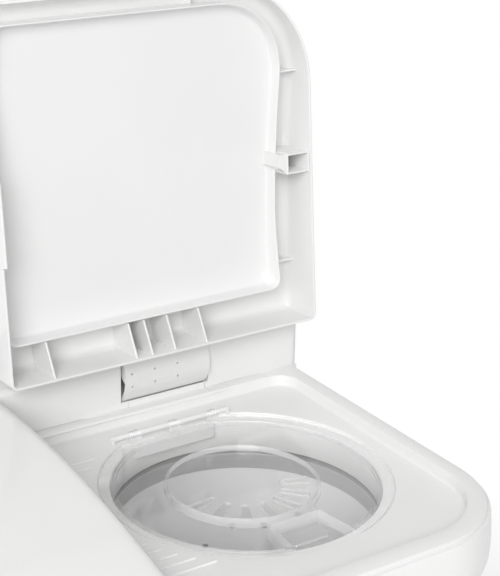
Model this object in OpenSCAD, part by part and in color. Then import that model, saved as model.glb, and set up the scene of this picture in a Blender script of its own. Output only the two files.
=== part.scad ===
// Twin tub washing machine: a wash tub and a spin drier side by side, each under its own lid.
// Lengths are in millimetres. x runs to the right, y to the back and z up from the ground.
// The spin lid stands open and the other lids are closed.

/* [Deck] */
// Width over the deck's skirt
deck_w = 745; // [735:1:765]
// Depth from the deck's front to the console's back
deck_d = 440; // [430:1:460]
// Height of the recess floor round the tub mouths
platform_h = 785; // [775:1:800]
// Wall of the deck
deck_t = 3; // [2.5:0.1:3.5]
// Height of the rim above the recess floor
rim_h = 10.8; // [9:0.1:12]
// Rim's inner edge from the deck's side
rim_side = 20.5; // [18:0.5:24]
// Rim's inner edge from the deck's front
rim_front = 23.5; // [20:0.5:26]
// Depth of the skirt below the recess floor
skirt_h = 42; // [36:1:50]
// Corner radius of the deck at the front
corner_r = 97; // [85:1:105]
// Radius of the recess at its front corners
recess_r = 76; // [66:1:82]
// Length of the drip ribs' pitch beside the spin mouth
rib_pitch = 12.7; // [10:0.1:16]

/* [Cabinet] */
// How far the cabinet sits in from the skirt
cabinet_in = 6; // [5:0.5:8]
// Wall of the cabinet
cabinet_t = 3; // [2.5:0.1:4]
// Height of the base tray's top
base_top = 75; // [65:1:90]
// Wall of the base tray
base_t = 4; // [3:0.5:5]
// Height of a foot
foot_h = 15; // [12:1:20]
// Radius of a foot
foot_r = 19; // [15:1:24]

/* [Console] */
// Height of the console's flat strip above the recess floor
console_h = 58; // [56:0.5:62]
// How far each end of the console stands out past the deck
console_over = 2.9; // [1:0.1:4]
// Slope of the control panel in degrees
panel_slope = 18; // [15:1:20]
// Wall of the console
console_t = 2.5; // [2:0.1:3]
// Radius of a knob
knob_r = 18; // [15:0.5:20]
// Height of a knob
knob_h = 20; // [16:0.5:22]

/* [Lids] */
// Height of a closed lid's crown above the recess floor
crown_h = 61.5; // [58:0.5:64]
// Wall of a lid
lid_t = 2.5; // [2:0.1:3]
// Gap between the two lids
lid_gap = 3; // [2:0.5:5]
// Gap between a lid and the console wall
lid_back_gap = 3.3; // [3:0.1:4]
// Front of a lid from the deck's front
lid_front = 17; // [15:0.5:19]
// Outer corner radius of a lid at the front
lid_r = 100; // [90:1:108]
// Angle through which a lid opens
lid_open = 95.75; // [90:0.25:98]
// Width of a hinge plate
hinge_w = 93; // [80:1:95]
// Radius of a hinge pin
pin_r = 2; // [1.8:0.1:2.2]

/* [Spin side] */
// Centre of the spin mouth from the deck's side
spin_side = 166; // [164:0.5:170]
// Centre of the spin mouth from the deck's front
spin_front = 197; // [193:0.5:200]
// Radius of the mouth's collar
mouth_r = 120; // [114:0.5:122]
// Depth of the collar
collar_h = 33; // [25:1:38]
// Radius of the clear inner lid
inner_lid_r = 130; // [127:0.5:132]
// Radius of the basket
basket_r = 122; // [112:0.5:126]
// Height of the basket with its ring
basket_h = 395; // [370:1:405]
// Wall of the basket
basket_t = 2.5; // [2:0.1:3]
// Inner radius of the tub round the basket
spin_tub_r = 143; // [140:0.5:144]
// Radius of the spin shaft
spin_shaft_r = 8; // [6:0.5:10]

/* [Wash side] */
// Corner radius of the wash mouth
wash_r = 60; // [40:1:80]
// Depth of the wash tub below the recess floor
wash_h = 427; // [415:1:435]
// Wall of both tubs
tub_t = 3; // [2.5:0.1:3.5]
// Radius of the pulsator
pulsator_r = 110; // [90:1:118]
// Radius of the pulsator's shaft
wash_shaft_r = 7; // [5:0.5:8]
// Pitch radius of the big pulley
big_pulley_r = 72; // [65:1:78]
// Pitch radius of the motor's pulley
small_pulley_r = 24; // [20:1:28]

/* [Hidden] */
$fn = 64;
eps = 0.05;
seat = 0.3;

// Places in plan. The inlet reaches past the console's back. The origin is midway between it and the front.
inlet_reach = 14;
front_y = -(deck_d + inlet_reach) / 2;
rear_y = front_y + deck_d;
side_x = deck_w / 2;
recess_y0 = front_y + rim_front;
ledge = 12.3;
console_d = 83.7;
recess_y1 = rear_y - console_d - ledge;
wall_y = recess_y1 + ledge;
spin_x = side_x - spin_side;
spin_y = front_y + spin_front;
seam_x = spin_x - 164.5;

// Rim shoulder, where the lids' side skirts come down outside the rim
shoulder = 5;
ledge_z = rim_h - 4;

// Lids
edge_z = rim_h + 0.5;
lid_in = 0.5;
lid_y0 = front_y + lid_front;
lid_y1 = wall_y - lid_back_gap;
crown_y = lid_y1 - 66;
crown_fall_front = 0.0005;
crown_fall_back = 0.0007;
axis_y = wall_y + 9.3;
axis_z = platform_h + 54.5;
hinge_offset = 11.5;
hinge_gap = 2.25;
spin_hinge_x = spin_x + hinge_offset;
wash_hinge_x = -166;
slot_w = hinge_w + 2 * hinge_gap;
slot_z = 16.3;
slot_d = 26;

// Console
console_x = side_x + console_over;
strip_w = 27.7;
panel_y0 = wall_y + strip_w;
panel_w = 46;
knob_up = 27;
knob_y = panel_y0 + knob_up * cos(panel_slope);
knob_z = platform_h + console_h + knob_up * sin(panel_slope);
fascia_t = 2;
shaft_r = 3;
shaft_hole_r = 4.5;
wash_timer_x = -290;
inlet_x = -60;
drain_x = 40;
spin_timer_x = spin_x + 110;

// Cabinet
cab_x = side_x - cabinet_in;
cab_y0 = front_y + cabinet_in;
cab_y1 = rear_y - cabinet_in;
cab_r = corner_r - cabinet_in;
cab_back_r = 14;
floor_z = foot_h + base_t;
cover_x = 320;
cover_z0 = base_top + 35;
cover_z1 = platform_h - 85;

// Wash tub
wash_x0 = -side_x + 36;
wash_y0 = front_y + 42;
wash_w = spin_x - inner_lid_r - 59 - wash_x0;
wash_d = recess_y1 - 17 - wash_y0;
wash_cx = wash_x0 + wash_w / 2;
wash_cy = wash_y0 + wash_d / 2;
tub_gap = 4;
wash_floor = platform_h - wash_h;
shaft_fit = 0.06;

// Wash drive
motor_dx = -112;
motor_dy = 45;
wash_motor_x = wash_cx + motor_dx;
wash_motor_y = wash_cy + motor_dy;
belt_z = wash_floor - 50;
belt_t = 5.4;
belt_w = 8;
pulley_t = 16;
wash_motor_r = 56;
wash_motor_top = belt_z - 14;
wash_motor_h = 96;

// Spin drive
basket_top = platform_h - collar_h - 5;
basket_z0 = basket_top - basket_h;
spin_floor = basket_z0 - 22;
ring_h = 16;
ring_in = 2.5;
ring_out = 12;
drum_r = 45;
drum_h = 30;
drum_z0 = spin_floor - 95;
spin_motor_r = 65;
spin_motor_z0 = 111;
spin_motor_z1 = drum_z0 - 10;
mount_ring_r = 90;
mount_r = 17;
plate_t = 3;

// Brake linkage. A shutting lid's hinge plate pushes the lid lever's finger back, which pulls the wire up.
plate_reach = 38.5;
finger_t = 4;
lid_lever_y = axis_y + plate_reach + 0.6 + finger_t / 2;
lid_lever_z = axis_z - 28;
lid_lever_r = 2.5;
lid_lever_turn = 14;
finger_x = spin_hinge_x + 32;
finger_w = 7;
finger_l = 32;
lever_arm = 21;
lever_w = 6;
cheek_x = spin_hinge_x + slot_w / 2;
wire_x = cheek_x + console_t + 5;
wire_y = lid_lever_y - lever_arm * cos(lid_lever_turn / 2);
wire_r = 0.9;
wire_top = lid_lever_z - lever_arm * sin(lid_lever_turn / 2);
barrel_r = 1.5;
pivot_y = spin_y + 56;
pivot_z = drum_z0 + 50;
wire_end_z = pivot_z;

// Drain valve, between and below the tubs
valve_x = drain_x;
valve_y = wall_y + 20.7;
valve_r = 26;
valve_z0 = wash_floor - 136;
valve_z1 = valve_z0 + 78;
hose_r = 14;
hose_t = 3;
hose_z = valve_z1 - 18;
outlet_z = valve_z0 + 17;
outlet_r = 16;
wash_sump = [-10, 78];
spin_sump = [spin_x - 96.5, spin_y + 70];
rocker_y = valve_y + 20;
rocker_z = platform_h + 30;
rocker_turn = 14.5;
rocker_back = 18.5;
rocker_r = 2.5;

function arc(cx, cy, r, a0, a1, n = 8) =
    [for (i = [0:n]) [cx + r * cos(a0 + (a1 - a0) * i / n), cy + r * sin(a0 + (a1 - a0) * i / n)]];

// Outline with its own radius at each corner: front right, back right, back left and front left
function outline(x0, x1, y0, y1, fr, br, bl, fl) = concat(
    arc(x1 - fr, y0 + fr, fr, -90, 0), arc(x1 - br, y1 - br, br, 0, 90),
    arc(x0 + bl, y1 - bl, bl, 90, 180), arc(x0 + fl, y0 + fl, fl, 180, 270));

module slab(x0, x1, y0, y1, z0, z1, rf, rb)
    translate([0, 0, z0]) linear_extrude(z1 - z0) polygon(outline(x0, x1, y0, y1, rf, rb, rb, rf));

module block(x0, x1, y0, y1, z0, z1)
    translate([x0, y0, z0]) cube([x1 - x0, y1 - y0, z1 - z0]);

module rod(x, y, z0, z1, r) translate([x, y, z0]) cylinder(h = z1 - z0, r = r);

module rod_x(x0, x1, y, z, r) translate([x0, y, z]) rotate([0, 90, 0]) cylinder(h = x1 - x0, r = r);

module rod_y(x, y0, y1, z, r) translate([x, y0, z]) rotate([-90, 0, 0]) cylinder(h = y1 - y0, r = r);

// A profile drawn in y and z, carried from x0 to x1
module along_x(x0, x1) translate([x0, 0, 0]) rotate([90, 0, 90]) linear_extrude(x1 - x0) children();

module shut_to_open() translate([0, axis_y, axis_z]) rotate([-lid_open, 0, 0])
    translate([0, -axis_y, -axis_z]) children();

module open_to_shut() translate([0, axis_y, axis_z]) rotate([lid_open, 0, 0])
    translate([0, -axis_y, -axis_z]) children();

// Frame of a knob on the sloping panel: z stands square to the panel
module on_panel(x) translate([x, knob_y, knob_z]) rotate([panel_slope, 0, 0]) children();

// Feet: one at each corner, with a peg into the base
module feet() color("dimgray")
    for (sx = [-1, 1], sy = [-1, 1]) translate([sx * (cab_x - 48), (cab_y0 + cab_y1) / 2 + sy * 160, 0]) {
        cylinder(h = foot_h, r = foot_r);
        translate([0, 0, foot_h - eps]) cylinder(h = base_t + 2 + eps, r = 6);
    }

// Base tray: carries the cabinet, the motors and their mounts
module base_tray() color("gainsboro") {
    difference() {
        slab(-cab_x, cab_x, cab_y0, cab_y1, foot_h, base_top, cab_r, cab_back_r);
        slab(-cab_x + base_t, cab_x - base_t, cab_y0 + base_t, cab_y1 - base_t, floor_z, base_top + 1,
            cab_r - base_t, cab_back_r - base_t);
        for (sx = [-1, 1], sy = [-1, 1])
            translate([sx * (cab_x - 48), (cab_y0 + cab_y1) / 2 + sy * 160, foot_h - 1])
                cylinder(h = base_t + 2, r = 6.1);
    }
    base_lip();
    for (a = [90, 210, 330]) translate([spin_x, spin_y, floor_z - eps]) rotate(a)
        translate([mount_ring_r, 0, 0]) difference() {
            cylinder(h = 10, r = mount_r + 3.5);
            translate([0, 0, -1]) cylinder(h = 12, r = mount_r + 0.2);
        }
}

// Lip that stands inside the cabinet's foot
module base_lip() difference() {
    slab(-cab_x + cabinet_t + seat, cab_x - cabinet_t - seat, cab_y0 + cabinet_t + seat,
        cab_y1 - cabinet_t - seat, base_top - 6, base_top + 9, cab_r - cabinet_t, cab_back_r - cabinet_t);
    slab(-cab_x + base_t + 2, cab_x - base_t - 2, cab_y0 + base_t + 2, cab_y1 - base_t - 2,
        base_top - 7, base_top + 10, cab_r - base_t - 2, cab_back_r - base_t - 2);
}

// Cabinet: one moulded shell with a large opening at the back
module cabinet() color("whitesmoke") difference() {
    slab(-cab_x, cab_x, cab_y0, cab_y1, base_top, platform_h + ledge_z - deck_t, cab_r, cab_back_r);
    slab(-cab_x + cabinet_t, cab_x - cabinet_t, cab_y0 + cabinet_t, cab_y1 - cabinet_t, base_top - 1,
        platform_h + ledge_z, cab_r - cabinet_t, cab_back_r - cabinet_t);
    block(-cover_x, cover_x, cab_y1 - cabinet_t - 2, cab_y1 + 2, cover_z0, cover_z1);
    cover_screws(1.6, 20);
}

// Screws round the rear cover: radius and length
module cover_screws(r, l)
    for (x = [-cover_x - 8, 0, cover_x + 8], z = [cover_z0 - 8, cover_z1 + 8])
        rod_y(x, cab_y1 + 2.5 - l, cab_y1 + 2.5, z, r);

// Rear cover: a flat panel with pressed louvres and holes for the drain and the cord
module rear_cover() color("gainsboro") difference() {
    union() {
        block(-cover_x - 15, cover_x + 15, cab_y1, cab_y1 + 2, cover_z0 - 15, cover_z1 + 15);
        block(-cover_x + 1, cover_x - 1, cab_y1 - 4, cab_y1 + eps, cover_z0 + 1, cover_z1 - 1);
    }
    block(-cover_x + 3, cover_x - 3, cab_y1 - 5, cab_y1, cover_z0 + 3, cover_z1 - 3);
    for (s = [-1, 1], i = [0:7]) block(s * 190 - 60, s * 190 + 60, cab_y1 - 1, cab_y1 + 3,
        cover_z0 + 60 + 16 * i, cover_z0 + 66 + 16 * i);
    rod_y(valve_x, cab_y1 - 9, cab_y1 + 9, outlet_z, outlet_r + 0.5);
    rod_y(-280, cab_y1 - 9, cab_y1 + 9, cover_z0 + 40, 8.3);
    cover_screws(2.2, 20);
}

// Screws of the rear cover and of the console's back
module case_screws() color("silver") {
    for (x = [-cover_x - 8, 0, cover_x + 8], z = [cover_z0 - 8, cover_z1 + 8])
        screw(x, cab_y1 + 2, z, 1.5, 8);
    for (x = back_screw_x) screw(x, rear_y, back_screw_z, 1.5, 7);
}

module screw(x, y, z, r, l) {
    rod_y(x, y, y + 1.8, z, 3.6);
    rod_y(x, y - l, y + eps, z, r);
}

// Deck: skirt, stepped rim, recess floor and the two mouths
module top_deck() color("white") translate([0, 0, platform_h]) {
    difference() {
        union() {
            slab(-side_x, side_x, front_y, rear_y, -skirt_h, ledge_z, corner_r, 12);
            slab(-side_x + shoulder, side_x - shoulder, front_y + shoulder, rear_y, ledge_z - eps, rim_h,
                corner_r - shoulder, 12);
            slab(-side_x, side_x, wall_y - 2, rear_y, ledge_z - eps, rim_h, 2, 12);
        }
        recess(0, 0, rim_h + 1);
        slab(-side_x + deck_t, side_x - deck_t, front_y + deck_t, rear_y - deck_t, -skirt_h - 1, -deck_t,
            corner_r - deck_t, 9);
        difference() {
            slab(-side_x + deck_t, side_x - deck_t, front_y + deck_t, rear_y - deck_t, -deck_t - 1,
                ledge_z - deck_t, corner_r - deck_t, 9);
            recess(deck_t, -deck_t - 2, rim_h);
        }
        block(-side_x + 30, side_x - 30, recess_y1 + deck_t + 2, rear_y - 8, 0, rim_h - deck_t);
        translate([spin_x, spin_y, -deck_t - 1]) cylinder(h = 10, r = inner_lid_r + 1);
        wash_mouth(0, -deck_t - 1, 5);
        for (x = [wash_hinge_x, spin_hinge_x])
            block(x - 41, x + 45, recess_y1 + 1.5, wall_y + console_t, rim_h - 1.2, rim_h + 1);
        console_openings();
    }
    spin_collar();
    difference() {
        wash_mouth(2.5, -25, 0);
        wash_mouth(0, -26, 1);
    }
    drip_ribs();
}

// The recess, grown by g, between two heights above the platform
module recess(g, z0, z1) slab(-side_x + rim_side - g, side_x - rim_side + g, recess_y0 - g, recess_y1 + g,
    z0, z1, recess_r + g, 22 + g);

module wash_mouth(g, z0, z1) slab(wash_x0 - g, wash_x0 + wash_w + g, wash_y0 - g, wash_y0 + wash_d + g,
    z0, z1, wash_r + g, wash_r + g);

// Openings under the console for wires, water and the two pull rods
module console_openings() {
    block(-250, -210, wall_y + 12, rear_y - 14, -1, rim_h + 1);
    block(inlet_x - 30, inlet_x + 30, wall_y + 12, rear_y - 30, -1, rim_h + 1);
    block(spin_timer_x - 12, spin_timer_x + 12, wall_y + 12, rear_y - 14, -1, rim_h + 1);
    rod(valve_x, valve_y, -1, rim_h + 1, 5);
    rod(wire_x, wire_y, -1, rim_h + 1, 2);
}

// Seat for the clear lid and the collar that reaches down to the basket
module spin_collar() translate([spin_x, spin_y, 0]) {
    difference() {
        translate([0, 0, -7]) cylinder(h = 7 - 0.5, r = inner_lid_r + 1 + deck_t);
        translate([0, 0, -8]) cylinder(h = 10, r = mouth_r);
        translate([0, 0, -3.5]) cylinder(h = 5, r = inner_lid_r + 1);
    }
    difference() {
        translate([0, 0, -collar_h]) cylinder(h = collar_h - 4, r = mouth_r + 2.5);
        translate([0, 0, -collar_h - 1]) cylinder(h = collar_h, r = mouth_r);
    }
    intersection() {
        block(-57, 35, 108, 124, -16, -3.6);
        translate([0, 0, -20]) cylinder(h = 20, r = mouth_r + 1.2);
    }
}

// Low ribs that run from beside the round mouth to under the wash lid
module drip_ribs() for (i = [-8:8]) {
    y = i * rib_pitch;
    reach = sqrt(pow(inner_lid_r + 10, 2) - y * y);
    if (reach < 136) block(spin_x - 158, spin_x - reach, spin_y + y - 0.8, spin_y + y + 0.8, -eps, 1);
}

// Side view of the console's outside and its hollow, in y and z above the platform
function console_profile(t) = concat(
    [[wall_y + t, rim_h - (t > 0 ? 1 : 0)]],
    arc(wall_y + 6, console_h - 6, 6 - t, 180, 90, 5),
    [[panel_y0 + t * tan(panel_slope / 2), console_h - t],
    [rear_y - 6 - t, panel_top(rear_y - 6 - t) - t / cos(panel_slope)]],
    t > 0 ? [[rear_y + 1, back_top + seat], [rear_y + 1, rim_h - 1]]
        : [[rear_y - 6, panel_top(rear_y - 6)], [rear_y, back_top + 5], [rear_y, rim_h]]);
function panel_top(y) = console_h + tan(panel_slope) * (y - panel_y0);
back_top = panel_top(rear_y - 6) - 10;

// Console: the moulded housing behind the lids, open below and behind
module console_body() color("white") {
    difference() {
        union() {
            console_shell();
            for (x = [wash_hinge_x, spin_hinge_x]) {
                hinge_cheek(x - slot_w / 2 - console_t, axis_y + 8);
                hinge_cheek(x + slot_w / 2, x > 0 ? lid_lever_y + 14 : axis_y + 8);
            }
        }
        for (x = [wash_hinge_x, spin_hinge_x])
            rod_x(x - slot_w / 2 - console_t - 3, x + slot_w / 2 + console_t + 3, axis_y, axis_z,
                pin_r + shaft_fit);
        rod_x(cheek_x - 1, cheek_x + console_t + 1, lid_lever_y, lid_lever_z, lid_lever_r + shaft_fit);
    }
    difference() {
        panel_rib(wire_x + 4.5, lid_lever_y - 8, lid_lever_y + 8, lid_lever_z - platform_h - 6);
        rod_x(wire_x, wire_x + 9, lid_lever_y, lid_lever_z, lid_lever_r + shaft_fit);
    }
    for (s = [-1, 1]) panel_rib(valve_x + s * 9 - console_t / 2, rocker_y - 5, rocker_y + 5, 24);
    rod_x(valve_x - 9, valve_x + 9, rocker_y, rocker_z, rocker_r);
    for (x = [inlet_x, drain_x]) on_panel(x) translate([0, 0, -11]) difference() {
        cylinder(h = 9, r = 6.5);
        translate([0, 0, -1]) cylinder(h = 11, r = shaft_r + shaft_fit);
    }
    for (x = back_screw_x) {
        difference() {
            block(x - 5, x + 5, rear_y - 14, rear_y - 2.6, back_screw_z - 5, back_screw_z + 5);
            rod_y(x, rear_y - 15, rear_y, back_screw_z, 1.55);
        }
        block(x - 5, x + 5, rear_y - 14, rear_y - 11, back_screw_z + 4, back_screw_z + 15);
    }
}

back_screw_x = [-330, -125, 120, 345];
back_screw_z = platform_h + 55.5;

module console_shell() difference() {
    translate([0, 0, platform_h]) intersection() {
        along_x(-console_x, console_x) polygon(console_profile(0));
        slab(-console_x, console_x, wall_y, rear_y, rim_h - 1, 110, 10, 3);
    }
    translate([0, 0, platform_h])
        along_x(-console_x + console_t, console_x - console_t) polygon(console_profile(console_t));
    for (x = [wash_hinge_x, spin_hinge_x]) {
        block(x - slot_w / 2, x + slot_w / 2, wall_y - 1, wall_y + slot_d, platform_h + slot_z,
            platform_h + console_h + 9);
        block(x - 41, x + 45, wall_y - 1, wall_y + console_t + eps, platform_h + rim_h - 1,
            platform_h + slot_z + eps);
    }
    for (x = [wash_timer_x, inlet_x, drain_x, spin_timer_x])
        on_panel(x) translate([0, 0, -9]) cylinder(h = 20, r = shaft_hole_r);
}

// Cheek beside a hinge slot, which holds a pin
module hinge_cheek(x, y1) block(x, x + console_t, wall_y + console_t - eps, y1, platform_h + slot_z - 4,
    platform_h + console_h - console_t + eps);

// Rib that hangs from the sloping panel down to z
module panel_rib(x, y0, y1, z) translate([0, 0, platform_h]) along_x(x, x + console_t)
    polygon([[y0, z], [y1, z], [y1, panel_top(y1) - 1], [y0, panel_top(y0) - 1]]);

// Inserts below the hinge slots: each closes the wall under its slot and runs forward over the ledge
module hinge_inserts() color("white") for (x = [wash_hinge_x, spin_hinge_x]) translate([0, 0, platform_h]) {
    block(x - 40.6, x + 44.6, wall_y, wall_y + console_t, rim_h - 0.9, slot_z - seat);
    block(x - 40.6, x + 44.6, recess_y1 + 1.8, wall_y + eps, rim_h - 0.9, rim_h);
}

// Console's back plate
module console_back() color("gainsboro") difference() {
    translate([0, 0, platform_h]) intersection() {
        along_x(-console_x + console_t + seat, console_x - console_t - seat)
            polygon([[rear_y - 2.5, rim_h], [rear_y - 2.5, back_top], [rear_y, back_top], [rear_y, rim_h]]);
    }
    rod_y(inlet_x, rear_y - 9, rear_y + 9, platform_h + 42, 13.6);
    for (x = back_screw_x) rod_y(x, rear_y - 9, rear_y + 9, back_screw_z, 1.7);
}

// Printed panel under the knobs
module control_panel() color("lightgray") on_panel(0) difference() {
    block(-console_x + 12, console_x - 12, -knob_up + 3, -knob_up + 3 + panel_w, 0.05, fascia_t);
    for (x = [wash_timer_x, inlet_x, drain_x, spin_timer_x])
        translate([x, 0, -1]) cylinder(h = 5, r = shaft_hole_r);
}

// A knob with its shaft and a pointer ridge, in the panel's frame
module knob(shaft_down) {
    translate([0, 0, fascia_t + 1]) {
        cylinder(h = 4, r = knob_r + 2);
        cylinder(h = knob_h, r = knob_r - 2);
        block(-4, 4, -knob_r, knob_r, 0, knob_h + 2);
    }
    translate([0, 0, -shaft_down]) cylinder(h = shaft_down + fascia_t + 2, r = shaft_r);
}

module wash_timer_knob() color("silver") on_panel(wash_timer_x) knob(22);

module spin_timer_knob() color("silver") on_panel(spin_timer_x) knob(22);

// Drain selector: its shaft ends in a stepped face cam that presses on the drain lever as it turns
module drain_selector_knob() color("silver") on_panel(drain_x) {
    knob(30);
    translate([0, 0, -30]) cylinder(h = 6, r = 3.6);
    for (i = [0:9]) translate([0, 0, -cam_depth - cam_drop * i / 9])
        linear_extrude(cam_depth - 25 + cam_drop * i / 9)
            polygon(concat(cam_arc(9, i > 0 ? i + 2 : 0, 12, 1), cam_arc(2.8, 12, i > 0 ? i + 2 : 0, -1)));
}
function cam_arc(r, a0, a1, s) = [for (a = [a0:s:a1]) r * [cos(11 * a - 109), sin(11 * a - 109)]];
cam_depth = 30.4;
cam_drop = 4.6;

// Inlet selector: its shaft swings a spout from one tub's trough to the other
module inlet_selector_knob() color("silver") on_panel(inlet_x) {
    knob(16);
    rotate(-45) translate([0, 0, -24]) difference() {
        union() {
            cylinder(h = 10, r = 9);
            block(-6, 6, -24, 0, 0, 10);
        }
        block(-4, 4, -25, 4, 2, 8);
    }
}

// Clockwork timers of the wash and the spin side, screwed up against the panel
module timers() color("dimgray") for (x = [wash_timer_x, spin_timer_x]) on_panel(x) difference() {
    block(-23, 23, -20, 14, -30, -console_t);
    translate([0, 0, -24]) cylinder(h = 30, r = shaft_r + shaft_fit);
}

// Fixed hinge pins in the console's cheeks
module hinge_pins() color("silver") for (x = [wash_hinge_x, spin_hinge_x], s = [-1, 1])
    rod_x(x + (s > 0 ? hinge_w / 2 - 5 : -slot_w / 2 - console_t - 1),
        x + (s > 0 ? slot_w / 2 + console_t + 1 : 5 - hinge_w / 2), axis_y, axis_z, pin_r);

// Height of a closed lid's outside above the platform at y
function crown(y) = crown_h - (y < crown_y ? crown_fall_front : crown_fall_back) * pow(y - crown_y, 2);

// Side view of a closed lid, in by t
function lid_profile(t) = concat(
    [[lid_y0 + t, edge_z - (t > 0 ? 2 : 0)], [lid_y0 + t, crown(lid_y0) - 9 - t],
    [lid_y0 + t + 2.5, crown(lid_y0) - 2.8 - t]],
    [for (i = [0:14]) let (y = lid_y0 + t + 9 + (lid_y1 - lid_y0 - 2 * t - 12) * i / 14) [y, crown(y) - t]],
    [[lid_y1 - t, crown(lid_y1) - 3 - t], [lid_y1 - t, edge_z - (t > 0 ? 2 : 0)]]);

function lid_plan(x0, x1, y0, y1, t, fr, fl) =
    outline(x0 + t, x1 - t, y0 + t, y1 - t, fr - t, 7 - t, 7 - t, fl - t);

// Solid lid between x0 and x1 with front corner radii fr and fl, in by t
module lid_form(x0, x1, fr, fl, t) translate([0, 0, platform_h]) intersection() {
    along_x(x0 - 1, x1 + 1) polygon(lid_profile(t));
    linear_extrude(2 * crown_h) polygon(lid_plan(x0, x1, lid_y0, lid_y1, t, fr, fl));
}

module lid_shell(x0, x1, fr, fl) difference() {
    lid_form(x0, x1, fr, fl, 0);
    lid_form(x0, x1, fr, fl, lid_t);
}

// Liner: a flat inner panel with a raised border, in from the lid's skirts
liner_back = 33;
liner_front = 18;
liner_drop = 11;
liner_t = 2;
border_w = 2.5;
border_h = 14;
border_dip = 0.1;

module liner(x0, x1, fr, fl) translate([0, 0, platform_h]) {
    intersection() {
        difference() {
            along_x(x0 - 1, x1 + 1) polygon(drop_profile(liner_drop));
            along_x(x0 - 2, x1 + 2) polygon(drop_profile(liner_drop + liner_t));
        }
        liner_plan(x0, x1, fr, fl, 0);
    }
    intersection() {
        difference() {
            along_x(x0 - 1, x1 + 1) polygon(drop_profile(lid_t));
            along_x(x0 - 2, x1 + 2) polygon(drop_profile(liner_drop + border_h, border_dip));
        }
        difference() {
            liner_plan(x0, x1, fr, fl, 0);
            liner_plan(x0, x1, fr, fl, border_w);
        }
    }
}

// Area below the lid's curve when that is lowered by t, and by more at the back where it dips
function drop_profile(t, dip = 0) = concat([[lid_y0, -60]],
    [for (i = [0:14]) let (y = lid_y0 + lid_t + 9 + (lid_y1 - lid_y0 - 2 * lid_t - 12) * i / 14)
        [y, crown(y) - t - dip * max(0, y - 20)]], [[lid_y1, -60]]);

module liner_plan(x0, x1, fr, fl, t) translate([0, 0, -61]) linear_extrude(130)
    polygon(lid_plan(x0, x1, lid_y0 + liner_front, lid_y1 - liner_back, t, fr, fl));

wash_lid_x0 = -side_x + lid_in;
wash_lid_x1 = seam_x - lid_gap / 2;
spin_lid_x0 = seam_x + lid_gap / 2;
spin_lid_x1 = side_x - lid_in;
side_r = 9;

module wash_lid() color("white") {
    lid_shell(wash_lid_x0, wash_lid_x1, side_r, lid_r);
    back_gussets(wash_hinge_x);
}

module wash_lid_liner() color("whitesmoke")
    liner(wash_lid_x0 + 28, wash_lid_x1 - 6, 12, lid_r - 25);

module spin_lid() color("white") shut_to_open() {
    lid_shell(spin_lid_x0, spin_lid_x1, lid_r, side_r);
    side_tab();
    lock_box();
    back_gussets(spin_hinge_x);
}

module spin_lid_liner() color("whitesmoke") shut_to_open()
    liner(spin_lid_x0 + 6, spin_lid_x1 - 28, lid_r - 25, 12);

// Deeper stretch of the spin lid's left skirt
module side_tab() along_x(spin_lid_x0, spin_lid_x0 + lid_t) polygon([
    [lid_y1 - 201, platform_h + edge_z + 1], [lid_y1 - 201, platform_h + edge_z],
    [lid_y1 - 186, platform_h + edge_z - 7.5], [lid_y1 - 114, platform_h + edge_z - 7.5],
    [lid_y1 - 112, platform_h + edge_z], [lid_y1 - 112, platform_h + edge_z + 1]]);

// Square tube between the right skirt and the liner that takes the lid's catch
lock_y = lid_y1 - 159;
module lock_box() difference() {
    intersection() {
        block(spin_lid_x1 - 27.6, spin_lid_x1 - lid_t + eps, lock_y - 10, lock_y + 10, platform_h + edge_z + 3,
            platform_h + crown_h);
        lid_form(spin_lid_x0, spin_lid_x1, lid_r, side_r, lid_t - eps);
    }
    block(spin_lid_x1 - 25.8, spin_lid_x1 - lid_t - 1, lock_y - 8, lock_y + 8, platform_h + edge_z + 2,
        platform_h + edge_z + 39);
}

// Webs between the back skirt and the liner's border, over the hinge
module back_gussets(x) for (dx = [-131, -47, -30.5, -6, 28.5]) intersection() {
    translate([0, 0, platform_h]) along_x(x + dx - 1, x + dx + 1) polygon([
        [lid_y1 - lid_t + eps, edge_z + 2], [lid_y1 - liner_back + seat, edge_z + 17],
        [lid_y1 - liner_back + seat, crown_h], [lid_y1 - lid_t + eps, crown_h]]);
    lid_form(x - 145, x + 60, side_r, side_r, lid_t - eps);
}

// Hinge plate as it stands with the lid open, in y and z from the hinge axis
plate_line = [[-9.5, 13.55], [-11.4, 4.7], [-14.1, -6.3], [-15.8, -17.2], [-14.1, -26.4], [-8.5, -34.9],
    [-6.3, -37.9], [-4.3, -36.3], [-6.6, -33.2], [-11.7, -25.3], [-13.3, -17.1], [-11.6, -6.5],
    [-8.9, 4.4], [-7, 13.3]];
ear_line = [[-7.2, 12.9], [-8.9, 4.4], [-11.6, -6.5], [-13.3, -17.1], [-3, -11], [6.5, -4], [7, 4], [2, 7]];

module hinge_plate(x) translate([0, axis_y, axis_z]) difference() {
    union() {
        along_x(x - hinge_w / 2, x + hinge_w / 2) polygon(plate_line);
        for (s = [-1, 1]) along_x(x + s * (hinge_w / 2 - 1.25) - 1.25, x + s * (hinge_w / 2 - 1.25) + 1.25)
            polygon(ear_line);
    }
    rod_x(x - hinge_w, x + hinge_w, 0, 0, pin_r + shaft_fit);
    for (dx = [-25, 0, 25], z = [-8, -20.8]) rod_y(x + dx - 14.5, -20, -5, z, 1.1);
}

module wash_hinge_plate() color("white") open_to_shut() hinge_plate(wash_hinge_x);

module spin_hinge_plate() color("white") hinge_plate(spin_hinge_x);

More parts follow.
